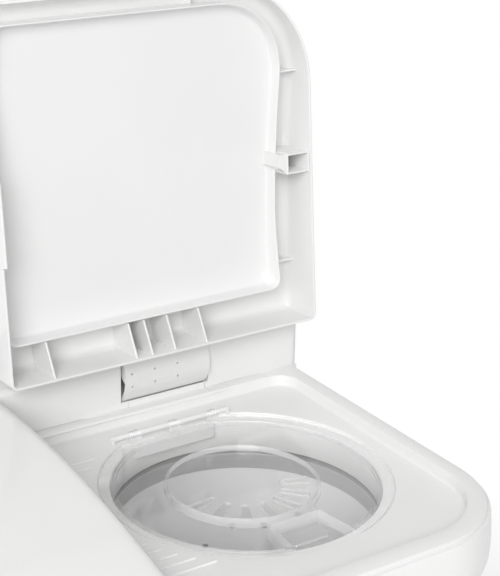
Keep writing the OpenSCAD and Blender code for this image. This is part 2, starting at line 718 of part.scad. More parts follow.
// Lid lever: a rocking shaft with a finger behind the hinge plate and an arm to the brake wire
module lid_lever() color("lightsteelblue") translate([0, lid_lever_y, lid_lever_z])
    rotate([lid_lever_turn, 0, 0]) difference() {
        union() {
            rod_x(finger_x, wire_x + 8, 0, 0, lid_lever_r);
            block(finger_x, finger_x + finger_w, -finger_t / 2, finger_t / 2, 0, finger_l);
            rotate([-lid_lever_turn / 2, 0, 0])
                block(wire_x - lever_w / 2, wire_x + lever_w / 2, -lever_arm - 4, 0, -3, 3);
            rod_x(wire_x - lever_w / 2, wire_x + lever_w / 2, 0, 0, 4.5);
        }
        rotate([-lid_lever_turn / 2, 0, 0]) {
            block(wire_x - 1.5, wire_x + 1.5, -lever_arm - 5, -lever_arm + 5, -4, 4);
            rod_x(wire_x - lever_w, wire_x + lever_w, -lever_arm, 0, barrel_r + 0.35);
        }
    }

// Micro switch behind the lever's finger, which stops the spin motor while the lid is up
module lid_switch() color("black")
    block(finger_x - 4, cheek_x - seat, lid_lever_y + finger_t / 2 + 0.5, lid_lever_y + 13,
        lid_lever_z + 8, lid_lever_z + 24);

// Brake wire with a barrel at each end
module brake_wire() color("silver") {
    rod(wire_x, wire_y, wire_end_z, wire_top, wire_r);
    rod_x(wire_x - 2.7, wire_x + 2.7, wire_y, wire_top, barrel_r);
    rod_x(wire_x - 3.6, wire_x + 3.6, wire_y, wire_end_z, barrel_r);
}

// Sheath of the brake wire, from the deck down to the brake bracket
module brake_cable_sheath() color("dimgray") difference() {
    rod(wire_x, wire_y, spin_floor, platform_h + rim_h - deck_t, 3);
    rod(wire_x, wire_y, spin_floor - 1, platform_h + rim_h, wire_r + 0.5);
}

// Bracket below the spin tub that carries the brake lever's pin and the sheath
module brake_bracket() color("silver") {
    difference() {
        block(spin_x - 14, wire_x + 12, pivot_y - 8, wire_y + 8, spin_floor - 3, spin_floor);
        rod(wire_x, wire_y, spin_floor - 4, spin_floor + 1, wire_r + 0.5);
        block(spin_x - 15, wire_x - 14, pivot_y + 14, wire_y + 9, spin_floor - 4, spin_floor + 1);
    }
    for (x = [spin_x - 14, wire_x + 9])
        block(x, x + 3, pivot_y - 8, pivot_y + 8, pivot_z - 8, spin_floor - 3 + eps);
    rod_x(spin_x - 12, wire_x + 10, pivot_y, pivot_z, 3);
}

// Brake lever: a rocking sleeve with a long arm to the wire and a short arm with the lining
module brake_lever() color("slategray") difference() {
    union() {
        rod_x(spin_x - 10, wire_x + 8, pivot_y, pivot_z, 6.5);
        block(spin_x - 7, spin_x + 7, pivot_y - 8, pivot_y + 3, drum_z0 + 4, pivot_z);
        block(spin_x - 14, spin_x + 14, pivot_y - 12, pivot_y - 4, drum_z0 + 4, drum_z0 + drum_h - 4);
        block(wire_x - 4, wire_x + 4, pivot_y, wire_y + 6, pivot_z - 4, pivot_z + 4);
    }
    rod_x(spin_x - 11, wire_x + 9, pivot_y, pivot_z, 3 + shaft_fit);
    rod(spin_x, spin_y, drum_z0, drum_z0 + drum_h, drum_r + seat);
    block(wire_x - 1.6, wire_x + 1.6, wire_y - 5, wire_y + 7, pivot_z - 5, pivot_z + 5);
    rod_x(wire_x - 5, wire_x + 5, wire_y, pivot_z, 1.9);
}

// Clear inner lid with a sunk middle, drain slots and a finger notch at the front
bar_y = spin_y + 119;
bar_z = platform_h + 4;
bar_r = 2.5;
dish_r = 67;
notch_y = spin_y - 77;
module inner_lid() color("lightblue", 0.4) {
    difference() {
        union() {
            difference() {
                rod(spin_x, spin_y, platform_h - 3.2, platform_h - 0.7, inner_lid_r - 0.3);
                block(spin_x - 200, spin_x + 200, bar_y - 5.5, bar_y + 50, platform_h - 9, platform_h + 9);
            }
            rod(spin_x - 4, spin_y, platform_h - 8.2, platform_h - 3.1, dish_r + 2.5);
            rod(spin_x, spin_y, platform_h - 6.5, platform_h - 3.1, mouth_r - 1.5);
            for (x = [-46, -4, 38]) {
                rod_x(spin_x + x - 5, spin_x + x + 5, bar_y, bar_z, bar_r + 1.2);
                block(spin_x + x - 5, spin_x + x + 5, bar_y - 6.5, bar_y - 1.5, platform_h - 1.5, bar_z);
            }
            intersection() {
                notch(3);
                rod(spin_x, spin_y, platform_h - 20, platform_h, mouth_r - 1.5);
            }
        }
        rod(spin_x - 4, spin_y, platform_h - 5.7, platform_h + 1, dish_r);
        difference() {
            rod(spin_x, spin_y, platform_h - 7, platform_h - 3.2, mouth_r - 4);
            rod(spin_x - 4, spin_y, platform_h - 9, platform_h, dish_r + 2.5);
            notch(3);
        }
        notch(0);
        block(spin_x - 59, spin_x + 37, spin_y + 106, spin_y + 126, platform_h - 9, platform_h - 3.15);
        rod_x(spin_x - 60, spin_x + 60, bar_y, bar_z, bar_r + shaft_fit);
        for (a = [-170, -145, -120, -95, -70, -45, -20]) translate([spin_x - 4, spin_y, platform_h - 9])
            rotate(a) linear_extrude(9) polygon([[34, -2.5], [60, -5], [60, 5], [34, 2.5]]);
    }
    grip();
}

// Finger notch at the lid's front, grown by g and deeper than it by g
module notch(g) translate([spin_x, spin_y, platform_h - 11 - g]) linear_extrude(10.3 + g + (g > 0 ? 0 : 5))
    polygon([[-26 - g, -77 + g], [22 + g, -77 + g], [26 + g, -96], [30 + g, -118.3 + (g > 0 ? 0 : -20)],
        [-34 - g, -118.3 + (g > 0 ? 0 : -20)]]);

// Half-moon plate under the notch for the fingers
module grip() translate([0, 0, platform_h - 11]) linear_extrude(2.5) intersection() {
    translate([spin_x - 3, spin_y - 82]) circle(r = 27);
    translate([spin_x - 27, spin_y - 104]) square([50, 28]);
}

// White bar on which the clear lid turns, on two posts
module inner_lid_bar() color("white") {
    rod_x(spin_x - 71, spin_x + 57, bar_y, bar_z, bar_r);
    for (x = [-71, 54]) block(spin_x + x, spin_x + x + 3, bar_y - 3.5, bar_y + 3.5, platform_h, bar_z + 1);
}

// Wash tub, hung from the deck
module wash_tub() color("whitesmoke") difference() {
    wash_tub_form(tub_t, wash_floor, platform_h - deck_t);
    wash_tub_form(0, wash_floor + tub_t, platform_h);
    rod(wash_cx, wash_cy, wash_floor - 1, wash_floor + 9, 20.3);
    rod(wash_sump[0], wash_sump[1], wash_floor - 1, wash_floor + 9, hose_r - hose_t);
}

module wash_tub_form(g, z0, z1) {
    d = tub_gap + g;
    slab(wash_x0 - d, wash_x0 + wash_w + d, wash_y0 - d, wash_y0 + wash_d + d, z0, z1,
        wash_r + d, wash_r + d);
}

// Slotted cover of the overflow channel on the tub's right wall
overflow_x = wash_x0 + wash_w + tub_gap;
module overflow_cover() color("white") difference() {
    block(overflow_x - 20, overflow_x - 0.2, wash_cy - 45, wash_cy + 45, wash_floor + 40, platform_h - 60);
    block(overflow_x - 17.5, overflow_x + 1, wash_cy - 42.5, wash_cy + 42.5, wash_floor + 42.5,
        platform_h - 57);
    for (z = [0:9]) block(overflow_x - 21, overflow_x - 16, wash_cy - 30, wash_cy + 30,
        wash_floor + 60 + 10 * z, wash_floor + 64 + 10 * z);
}

// Lint filter: a frame with a basket of netting that lifts off the tub's left wall
filter_x = wash_x0 - tub_gap;
module lint_filter() color("lightgray") difference() {
    union() {
        block(filter_x + 0.4, filter_x + 8, wash_cy - 55, wash_cy + 55, platform_h - 225, platform_h - 75);
        block(filter_x + 7, filter_x + 34, wash_cy - 42, wash_cy + 42, platform_h - 212, platform_h - 90);
    }
    block(filter_x, filter_x + 32, wash_cy - 40, wash_cy + 40, platform_h - 210, platform_h - 92);
}

// Pulsator: a dished disc with six vanes
module pulsator() color("lightgray") translate([wash_cx, wash_cy, wash_floor + 9]) difference() {
    union() {
        cylinder(h = 5, r = pulsator_r);
        cylinder(h = 22, r = 30);
        for (a = [0:60:300]) rotate(a) block(20, pulsator_r - 4, -6, 6, 3, 18);
    }
    translate([0, 0, -1]) cylinder(h = 30, r = wash_shaft_r + 0.03);
    translate([0, 0, 17]) cylinder(h = 9, r = 12);
}

module pulsator_screw() color("silver") translate([wash_cx, wash_cy, wash_floor + 26.1]) {
    cylinder(h = 4, r = 9);
}

module pulsator_shaft() color("silver") rod(wash_cx, wash_cy, belt_z - 12, wash_floor + 26, wash_shaft_r);

// Gearbox under the wash tub, with the bush that passes the tub's floor
module pulsator_gearbox() color("gray") difference() {
    union() {
        rod(wash_cx, wash_cy, wash_floor - 34, wash_floor, 55);
        rod(wash_cx, wash_cy, wash_floor - 1, wash_floor + 7.5, 20);
    }
    rod(wash_cx, wash_cy, wash_floor - 40, wash_floor + 20, wash_shaft_r + shaft_fit);
}

// Grooved pulley: pitch radius and bore
module pulley(r, bore) difference() {
    rotate_extrude() polygon([[0, -pulley_t / 2], [r + 4, -pulley_t / 2], [r + 4, -belt_w / 2 - 1],
        [r - groove_d, -belt_w / 2 - 0.4], [r - groove_d, belt_w / 2 + 0.4], [r + 4, belt_w / 2 + 1],
        [r + 4, pulley_t / 2], [0, pulley_t / 2]]);
    translate([0, 0, -pulley_t]) cylinder(h = 2 * pulley_t, r = bore);
}

module pulsator_pulley() color("dimgray") translate([wash_cx, wash_cy, belt_z])
    pulley(big_pulley_r, wash_shaft_r + 0.03);

module wash_motor_pulley() color("dimgray") translate([wash_motor_x, wash_motor_y, belt_z])
    pulley(small_pulley_r, 6.03);

// Belt round both pulleys: two round ends and the straight runs that touch them
belt_d = sqrt(motor_dx * motor_dx + motor_dy * motor_dy);
belt_lean = acos((big_pulley_r - small_pulley_r) / belt_d);
groove_d = belt_t / 2 + 0.15;
module belt_loop(g) polygon(concat(arc(0, 0, big_pulley_r + g, belt_lean, 360 - belt_lean, 60),
    arc(belt_d, 0, small_pulley_r + g, -belt_lean, belt_lean, 24)));
module drive_belt() color("black") translate([wash_cx, wash_cy, belt_z - belt_w / 2])
    rotate(atan2(motor_dy, motor_dx)) linear_extrude(belt_w) difference() {
        belt_loop(belt_t / 2);
        belt_loop(-belt_t / 2);
    }

// Wash motor: housing, rotor on its shaft and the bracket that stands on the base
module wash_motor() color("silver") difference() {
    rod(wash_motor_x, wash_motor_y, wash_motor_top - wash_motor_h, wash_motor_top, wash_motor_r);
    rod(wash_motor_x, wash_motor_y, wash_motor_top - wash_motor_h + 12, wash_motor_top - 12, 38);
    rod(wash_motor_x, wash_motor_y, wash_motor_top - wash_motor_h + 5, wash_motor_top + 9, 6 + shaft_fit);
}

module wash_motor_rotor() color("gray") {
    rod(wash_motor_x, wash_motor_y, wash_motor_top - wash_motor_h + 6, belt_z + 10, 6);
    rod(wash_motor_x, wash_motor_y, wash_motor_top - wash_motor_h + 15, wash_motor_top - 15, 37.5);
}

module wash_motor_bracket() color("gray") {
    z = wash_motor_top - wash_motor_h;
    block(wash_motor_x - 66, wash_motor_x + 66, wash_motor_y - 60, wash_motor_y + 60, z - 4, z);
    for (sx = [-1, 1], sy = [-1, 1])
        rod(wash_motor_x + sx * 56, wash_motor_y + sy * 50, floor_z, z - 4 + eps, 8);
}

// Tub that catches the water thrown out of the basket
module spin_tub() color("whitesmoke") difference() {
    rod(spin_x, spin_y, spin_floor, platform_h - deck_t - seat, spin_tub_r + tub_t);
    rod(spin_x, spin_y, spin_floor + tub_t, platform_h, spin_tub_r);
    rod(spin_x, spin_y, spin_floor - 1, spin_floor + 9, 35);
    rod(spin_sump[0], spin_sump[1], spin_floor - 1, spin_floor + 9, hose_r - hose_t);
}

// Basket: perforated wall, floor and hub
module spin_basket() color("silver") translate([spin_x, spin_y, basket_z0]) difference() {
    union() {
        difference() {
            cylinder(h = basket_h - ring_h, r = basket_r);
            translate([0, 0, 6]) cylinder(h = basket_h, r = basket_r - basket_t);
        }
        cylinder(h = 55, r = 26);
    }
    translate([0, 0, -1]) cylinder(h = 90, r = spin_shaft_r + 0.03);
    for (turn = [0:90:270],
        p = [[31, 60], [47, 79], [62, 80], [33, 98], [75, 101], [10, 190], [55, 200], [33, 290]])
        translate([0, 0, basket_h - p[1]]) rotate(p[0] + turn) rotate([0, 90, 0])
            cylinder(h = 200, r = 3.4, $fn = 20);
}

// Balance ring on the basket's rim
module balance_ring() color("lightgray") translate([spin_x, spin_y, basket_top - ring_h]) difference() {
    cylinder(h = ring_h, r = basket_r + ring_out);
    translate([0, 0, -1]) cylinder(h = ring_h + 2, r = basket_r - ring_in);
}

module spin_shaft() color("silver") rod(spin_x, spin_y, spin_motor_z0 + 10, basket_z0 + 62, spin_shaft_r);

// Rubber seal with its bearing, in the tub's floor
module spin_seal() color("dimgray") difference() {
    union() {
        rod(spin_x, spin_y, spin_floor - 14, spin_floor, 46);
        rod(spin_x, spin_y, spin_floor - 1, spin_floor + 8, 34.7);
    }
    rod(spin_x, spin_y, spin_floor - 20, spin_floor + 20, spin_shaft_r + shaft_fit);
}

module brake_drum() color("silver") rotate_drum();

module rotate_drum() difference() {
    union() {
        rod(spin_x, spin_y, drum_z0, drum_z0 + drum_h, drum_r);
        rod(spin_x, spin_y, drum_z0 - 6, drum_z0 + drum_h + 12, 16);
    }
    rod(spin_x, spin_y, drum_z0 - 9, drum_z0 + drum_h + 20, spin_shaft_r + 0.03);
}

module spin_motor() color("silver") difference() {
    rod(spin_x, spin_y, spin_motor_z0, spin_motor_z1, spin_motor_r);
    rod(spin_x, spin_y, spin_motor_z0 + 8, spin_motor_z1 + 1, spin_shaft_r + shaft_fit);
}

module spin_motor_plate() color("gray")
    rod(spin_x, spin_y, spin_motor_z0 - plate_t, spin_motor_z0, mount_ring_r + mount_r + 3);

module spin_motor_mounts() color("black")
    for (a = [90, 210, 330]) translate([spin_x, spin_y, floor_z]) rotate(a) translate([mount_ring_r, 0, 0])
        cylinder(h = spin_motor_z0 - plate_t - floor_z, r = mount_r);

// Drain lever: the selector presses its back end down, and its front end lifts the rod
module drain_lever() color("lightsteelblue") translate([valve_x, rocker_y, rocker_z])
    rotate([rocker_turn / 2, 0, 0]) difference() {
        union() {
            rod_x(-6, 6, 0, 0, 5);
            block(-4, 4, -25, 0, -2.5, 2.5);
            block(-1, 1, 0, rocker_back, -2.5, 2.5);
        }
        rod_x(-7, 7, 0, 0, rocker_r + shaft_fit);
        block(-1.8, 1.8, -30, -15, -4, 4);
        rod_x(-5, 5, -20, 0, barrel_r + 0.4);
    }

// Drain plunger with its long rod, which hangs from the drain lever
module drain_plunger() color("darkgray") {
    rod(valve_x, valve_y, valve_z0 + 33, valve_z0 + 40, 18);
    rod(valve_x, valve_y, valve_z0 + 39, rocker_z - rocker_dip, 1.2);
    rod_x(valve_x - 3.5, valve_x + 3.5, valve_y, rocker_z - rocker_dip, barrel_r);
}

rocker_dip = 20 * sin(rocker_turn / 2);

// Valve body that both tubs drain into
module drain_valve() color("white") difference() {
    rod(valve_x, valve_y, valve_z0, valve_z1, valve_r);
    rod(valve_x, valve_y, valve_z0 + 32.6, valve_z1 - 3, valve_r - 3);
    rod(valve_x, valve_y, valve_z0 + 3, valve_z0 + 34, 13);
    rod(valve_x, valve_y, valve_z1 - 5, valve_z1 + 1, 2.2);
    rod_y(valve_x, valve_y, valve_y + 40, outlet_z, outlet_r - 4);
    for (p = [wash_sump, spin_sump]) toward(p) rod_x(10, 40, 0, hose_z, hose_r - hose_t);
}

// Frame at the valve whose x axis points to a sump
module toward(p) translate([valve_x, valve_y, 0]) rotate(atan2(p[1] - valve_y, p[0] - valve_x)) children();

// Hoses from the tubs to the valve, and the outlet that passes the rear cover
module drain_hoses() color("gray") {
    drain_hose(wash_sump, wash_floor);
    drain_hose(spin_sump, spin_floor);
    difference() {
        union() {
            rod_y(valve_x, valve_y + valve_r - 8, cab_y1 + 6, outlet_z, outlet_r - 1);
            rod_y(valve_x, cab_y1 + 2.1, cab_y1 + 5, outlet_z, outlet_r + 5);
            rod_y(valve_x, cab_y1 + 4, rear_y + inlet_reach, outlet_z, outlet_r);
        }
        rod_y(valve_x, valve_y, rear_y + inlet_reach + 1, outlet_z, outlet_r - 4);
        rod(valve_x, valve_y, outlet_z - 20, outlet_z + 20, valve_r + 0.05);
    }
}

module drain_hose(p, top) {
    run = norm([p[0] - valve_x, p[1] - valve_y]);
    difference() {
        toward(p) union() {
            rod_x(valve_r - 6, run, 0, hose_z, hose_r);
            rod(run, 0, hose_z, top, hose_r);
            translate([run, 0, hose_z]) sphere(r = hose_r);
        }
        toward(p) union() {
            rod_x(valve_r - 7, run, 0, hose_z, hose_r - hose_t);
            rod(run, 0, hose_z, top + 1, hose_r - hose_t);
            translate([run, 0, hose_z]) sphere(r = hose_r - hose_t);
        }
        rod(valve_x, valve_y, hose_z - 20, hose_z + 20, valve_r + 0.05);
    }
}

// Inlet: threaded connector through the console's back and the trough that feeds both tubs
module inlet_manifold() color("white") {
    z = platform_h + 42;
    difference() {
        union() {
            rod_y(inlet_x, rear_y - 6, rear_y - 2.5, z, 17);
            rod_y(inlet_x, rear_y - 4, rear_y + 1, z, 13.4);
            rod_y(inlet_x, rear_y, rear_y + inlet_reach, z, 13.1);
            rod_y(inlet_x, rear_y - 14, rear_y - 5, z, 10);
        }
        rod_y(inlet_x, rear_y - 15, rear_y + inlet_reach + 1, z, 7.5);
    }
    difference() {
        block(inlet_x - 45, inlet_x + 45, wall_y + 10, rear_y - 12, platform_h + rim_h, platform_h + 30);
        block(inlet_x - 43, inlet_x + 43, wall_y + 12, rear_y - 14, platform_h + rim_h + 2, platform_h + 31);
        for (s = [-1, 1]) rod(inlet_x + s * 18, wall_y + 26, platform_h, platform_h + 20, 8);
    }
}

// Motor capacitors, standing on the base
module capacitors() color("silver")
    for (p = [[270, 160], [225, 165]]) rod(p[0], p[1], floor_z, floor_z + 70, 17.5);

// Gland where the mains lead leaves the rear cover
module cord_gland() color("black") difference() {
    union() {
        rod_y(-280, cab_y1 - 6, cab_y1 + 3, cover_z0 + 40, 8);
        rod_y(-280, cab_y1 + 2, cab_y1 + 6, cover_z0 + 40, 12);
    }
    rod_y(-280, cab_y1 - 7, cab_y1 + 9, cover_z0 + 40, 4);
}

feet();
base_tray();
cabinet();
rear_cover();
case_screws();
top_deck();
console_body();
console_back();
control_panel();
hinge_inserts();
hinge_pins();
wash_lid();
wash_lid_liner();
wash_hinge_plate();
spin_lid();
spin_lid_liner();
spin_hinge_plate();
lid_lever();
lid_switch();
brake_wire();
brake_cable_sheath();
brake_bracket();
brake_lever();
inner_lid();
inner_lid_bar();
wash_tub();
overflow_cover();
lint_filter();
pulsator();
pulsator_screw();
pulsator_shaft();
pulsator_gearbox();
pulsator_pulley();
drive_belt();
wash_motor();
wash_motor_rotor();
wash_motor_pulley();
wash_motor_bracket();
spin_tub();
spin_basket();
balance_ring();
spin_shaft();
spin_seal();
brake_drum();
spin_motor();
spin_motor_plate();
spin_motor_mounts();
timers();
wash_timer_knob();
spin_timer_knob();
drain_selector_knob();
inlet_selector_knob();
drain_lever();
drain_plunger();
drain_valve();
drain_hoses();
inlet_manifold();
capacitors();
cord_gland();
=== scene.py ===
from math import cos, pi, radians, sin

import bmesh
import bpy
from mathutils import Matrix, Vector


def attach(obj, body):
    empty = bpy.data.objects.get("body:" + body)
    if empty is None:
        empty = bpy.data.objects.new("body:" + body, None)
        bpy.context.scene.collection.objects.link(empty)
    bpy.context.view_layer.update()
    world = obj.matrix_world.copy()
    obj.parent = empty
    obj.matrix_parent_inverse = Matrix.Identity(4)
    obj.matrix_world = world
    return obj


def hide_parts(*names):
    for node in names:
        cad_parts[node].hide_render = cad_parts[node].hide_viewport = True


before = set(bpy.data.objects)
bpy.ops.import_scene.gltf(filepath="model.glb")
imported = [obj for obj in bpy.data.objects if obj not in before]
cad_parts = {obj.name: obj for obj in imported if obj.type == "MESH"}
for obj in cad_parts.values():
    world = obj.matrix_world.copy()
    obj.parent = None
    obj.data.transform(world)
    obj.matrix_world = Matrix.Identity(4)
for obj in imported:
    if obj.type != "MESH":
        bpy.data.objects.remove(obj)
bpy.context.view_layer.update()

# ---- Feet and base tray ----
# Four moulded rubber feet are pegged into the base tray, a grey polypropylene moulding
# that carries the motors and whose lip stands inside the cabinet.

flow_mark, gloss_mark = 140, 30  # mm across the slow marks in colour and in gloss


def moulded(name, colour, rough, grain=0.9, relief=0.03, mottle=0.03):
    """Moulded plastic: a fine tool grain in mm, with slow flow marks in colour and gloss."""
    finish = bpy.data.materials.new(name)
    finish.use_nodes = True
    nodes, links = finish.node_tree.nodes, finish.node_tree.links
    shader = nodes["Principled BSDF"]
    place = nodes.new("ShaderNodeTexCoord")

    def marks(size, detail):
        field = nodes.new("ShaderNodeTexNoise")
        field.inputs["Scale"].default_value = 1000 / size
        field.inputs["Detail"].default_value = detail
        links.new(place.outputs["Object"], field.inputs["Vector"])
        return field.outputs["Fac"]

    tone = nodes.new("ShaderNodeMix")
    tone.data_type = "RGBA"
    tone.inputs["A"].default_value = [c * (1 - mottle) for c in colour] + [1]
    tone.inputs["B"].default_value = [min(1, c * (1 + mottle)) for c in colour] + [1]
    links.new(marks(flow_mark, 2), tone.inputs["Factor"])
    links.new(tone.outputs["Result"], shader.inputs["Base Color"])
    # A wider range of gloss would leave small grey specks in the denoised picture.
    gloss = nodes.new("ShaderNodeMapRange")
    gloss.inputs["To Min"].default_value = rough * 0.92
    gloss.inputs["To Max"].default_value = rough * 1.12
    links.new(marks(gloss_mark, 3), gloss.inputs["Value"])
    links.new(gloss.outputs["Result"], shader.inputs["Roughness"])
    bump = nodes.new("ShaderNodeBump")
    bump.inputs["Strength"].default_value = 0.35
    bump.inputs["Distance"].default_value = relief / 1000
    links.new(marks(grain, 2), bump.inputs["Height"])
    links.new(bump.outputs["Normal"], shader.inputs["Normal"])
    return finish


def weld_and_shade():
    """Joins a solid's loose triangles and shades it smooth except at its real edges."""
    tree = bpy.data.node_groups.new("weld_and_shade", "GeometryNodeTree")
    ports = tree.interface
    ports.new_socket("Geometry", in_out="INPUT", socket_type="NodeSocketGeometry")
    ports.new_socket("Weld distance", in_out="INPUT", socket_type="NodeSocketFloat")
    ports.new_socket("Crease angle", in_out="INPUT", socket_type="NodeSocketFloat")
    ports.new_socket("Geometry", in_out="OUTPUT", socket_type="NodeSocketGeometry")
    given, made = tree.nodes.new("NodeGroupInput"), tree.nodes.new("NodeGroupOutput")
    weld = tree.nodes.new("GeometryNodeMergeByDistance")
    angle = tree.nodes.new("GeometryNodeInputMeshEdgeAngle")
    soft = tree.nodes.new("FunctionNodeCompare")
    soft.data_type, soft.operation = "FLOAT", "LESS_THAN"
    faces = tree.nodes.new("GeometryNodeSetShadeSmooth")
    edges = tree.nodes.new("GeometryNodeSetShadeSmooth")
    edges.domain = "EDGE"
    link = tree.links.new
    link(given.outputs["Geometry"], weld.inputs["Geometry"])
    link(given.outputs["Weld distance"], weld.inputs["Distance"])
    link(weld.outputs["Geometry"], faces.inputs["Geometry"])
    link(faces.outputs["Geometry"], edges.inputs["Geometry"])
    link(angle.outputs["Unsigned Angle"], soft.inputs["A"])
    link(given.outputs["Crease angle"], soft.inputs["B"])
    link(soft.outputs["Result"], edges.inputs["Shade Smooth"])
    link(edges.outputs["Geometry"], made.inputs["Geometry"])
    return tree


shading = weld_and_shade()
weld_distance = 0.00001  # m
crease_angle = radians(30)  # edges sharper than this stay sharp


def set_input(modifier, name, value):
    """Sets a tree's named input on the modifier that runs it."""
    for item in modifier.node_group.interface.items_tree:
        if item.name == name and item.in_out == "INPUT":
            modifier[item.identifier] = value


def dress(node, finish, edge=0.5):
    """Gives a CAD solid its finish and, with edge in mm, a small radius on its edges."""
    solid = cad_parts[node]
    solid.data.materials.clear()
    solid.data.materials.append(finish)
    with bpy.context.temp_override(object=solid, active_object=solid):
        bpy.ops.mesh.customdata_custom_splitnormals_clear()
    join = solid.modifiers.new("weld", "NODES")
    join.node_group = shading
    set_input(join, "Weld distance", weld_distance)
    set_input(join, "Crease angle", crease_angle)
    if edge:
        flat = solid.modifiers.new("flats", "DECIMATE")
        flat.decimate_type = "DISSOLVE"
        flat.angle_limit = radians(0.4)
        ease = solid.modifiers.new("edges", "BEVEL")
        ease.limit_method, ease.angle_limit = "ANGLE", radians(35)
        ease.width, ease.segments = edge / 1000, 2
        ease.harden_normals = True


rubber = moulded("black_rubber", (0.03, 0.03, 0.032), 0.65, grain=1.6, relief=0.12)
base_plastic = moulded("grey_base_plastic", (0.50, 0.51, 0.52), 0.42, grain=1.4, relief=0.06)
dress("feet", rubber, edge=1.2)
dress("base_tray", base_plastic, edge=0)

# ---- Cabinet and rear cover ----
# The cabinet is one glossy white moulding with a large opening at the back, closed by a
# grey cover with pressed louvres. Cross-head screws hold the cover and the console's back,
# and a rubber gland in the cover takes the mains lead.

cabinet_plastic = moulded("cabinet_white", (0.80, 0.80, 0.795), 0.3, grain=2.5, relief=0.04)
cover_plastic = moulded("cover_grey", (0.56, 0.57, 0.575), 0.45, grain=1.2, relief=0.08)
dress("cabinet", cabinet_plastic, edge=0)
dress("rear_cover", cover_plastic, edge=0.4)
dress("cord_gland", rubber)


def bright_metal(name, colour, rough, grain=0.4, relief=0.01):
    """Plain metal: a fine brushed or ground grain in mm and a slightly uneven shine."""
    finish = moulded(name, colour, rough, grain, relief, 0.05)
    finish.node_tree.nodes["Principled BSDF"].inputs["Metallic"].default_value = 1.0
    return finish


zinc = bright_metal("zinc_plated_steel", (0.62, 0.63, 0.65), 0.31)
dress("case_screws", zinc, edge=0.5)

# ---- Wash tub ----
# A deep white polypropylene tub hangs from the deck. It holds the pulsator, the lint
# filter on its left wall and the slotted cover of the overflow channel on its right.

tub_plastic = moulded("tub_white", (0.77, 0.77, 0.77), 0.35)
filter_plastic = moulded("filter_grey", (0.45, 0.55, 0.62), 0.4)
pulsator_plastic = moulded("pulsator_grey", (0.55, 0.60, 0.64), 0.3)
dress("wash_tub", tub_plastic, edge=0)
dress("overflow_cover", tub_plastic, edge=0.4)
dress("lint_filter", filter_plastic, edge=0.5)
dress("pulsator", pulsator_plastic, edge=1.2)
dress("pulsator_screw", zinc, edge=0.8)

# ---- Wash drive ----
# Under the tub a gearbox carries the pulsator's shaft and its big pulley. A belt joins it
# to the small pulley of the wash motor, which stands on a steel bracket. The capacitors of
# both motors stand on the base tray.

cast_alloy = bright_metal("cast_alloy", (0.50, 0.51, 0.52), 0.5, grain=2, relief=0.1)
painted_steel = moulded("painted_steel", (0.16, 0.17, 0.18), 0.45)
belt_rubber = moulded("belt_rubber", (0.022, 0.022, 0.024), 0.7, relief=0.1)
dress("pulsator_shaft", zinc)
dress("pulsator_gearbox", cast_alloy, edge=1.5)
for pulley in ("pulsator_pulley", "wash_motor_pulley"):
    dress(pulley, cast_alloy, edge=0.6)
dress("drive_belt", belt_rubber, edge=0.6)
dress("wash_motor", painted_steel, edge=1.5)
dress("wash_motor_rotor", zinc)
dress("wash_motor_bracket", painted_steel, edge=0.6)
dress("capacitors", cast_alloy, edge=1)

# ---- Spin tub, basket and drive ----
# The grey perforated basket with its balance ring turns in a round catch tub, on a shaft
# that runs down through a seal to the brake drum and the spin motor on rubber mounts.

basket_plastic = moulded("basket_grey", (0.83, 0.83, 0.83), 0.38)
# Painted shade: the balance ring's grey is darker than its own grey, standing in for the shadow the
# collar throws on it.
ring_grey_and_painted_shade = moulded("balance_ring_grey_and_painted_shade", (0.40, 0.40, 0.40), 0.35)
dress("spin_tub", tub_plastic, edge=0)
dress("spin_basket", basket_plastic, edge=0)
dress("balance_ring", ring_grey_and_painted_shade, edge=1)
dress("spin_shaft", zinc)
dress("spin_seal", rubber)
dress("brake_drum", cast_alloy, edge=1)
dress("spin_motor", painted_steel, edge=1.5)
dress("spin_motor_plate", painted_steel, edge=0.5)
dress("spin_motor_mounts", rubber, edge=0.5)

# ---- Brake linkage ----
# A lever behind the spin lid's hinge pulls a wire in a black sheath, which lifts the
# brake lever off the drum while the lid is shut.

lever_plastic = moulded("lever_blue_grey", (0.30, 0.36, 0.44), 0.4)
black_plastic = moulded("black_plastic", (0.03, 0.03, 0.032), 0.4)
dress("lid_lever", lever_plastic, edge=0.4)
dress("lid_switch", black_plastic, edge=0.5)
dress("brake_wire", zinc, edge=0)
dress("brake_cable_sheath", black_plastic, edge=0)
dress("brake_bracket", zinc, edge=0.4)
dress("brake_lever", painted_steel, edge=0.5)

# ---- Drain and inlet ----
# The selector rocks a lever that lifts the drain plunger out of its valve. Grey hoses join
# both tubs to the valve, and the inlet trough feeds either tub.

hose_plastic = moulded("hose_grey", (0.34, 0.35, 0.36), 0.5)
for part in ("drain_lever", "drain_plunger"):
    dress(part, lever_plastic, edge=0.4)
dress("drain_valve", base_plastic, edge=0.6)
dress("drain_hoses", hose_plastic, edge=0)
dress("inlet_manifold", tub_plastic, edge=0.4)

# ---- Deck ----
# The deck is one glossy white moulding: a slightly bulged skirt over the cabinet, a stepped
# rim, and a sunk floor with the wash tub's mouth and the spin mouth's seat and collar. Low
# drip ribs run from the spin mouth towards the wash side.

floor_level = 785.0  # of the recess, over the ground; the deck's other levels count from it
rim_level = 10.8
deck_side, deck_front, deck_back = 372.5, -227, 213
recess_side, recess_front, recess_back = 352, -203.5, 117
deck_corner, deck_back_corner, recess_corner, recess_back_corner = 97, 6, 76, 22
deck_wall = 2.4
tub_mouth_x, tub_mouth_y, tub_mouth_corner = (-336.5, 17.5), (-185, 100), 60
spin_centre = (206.5, -30.0)
hinge_places = (-166.0, 218.0)


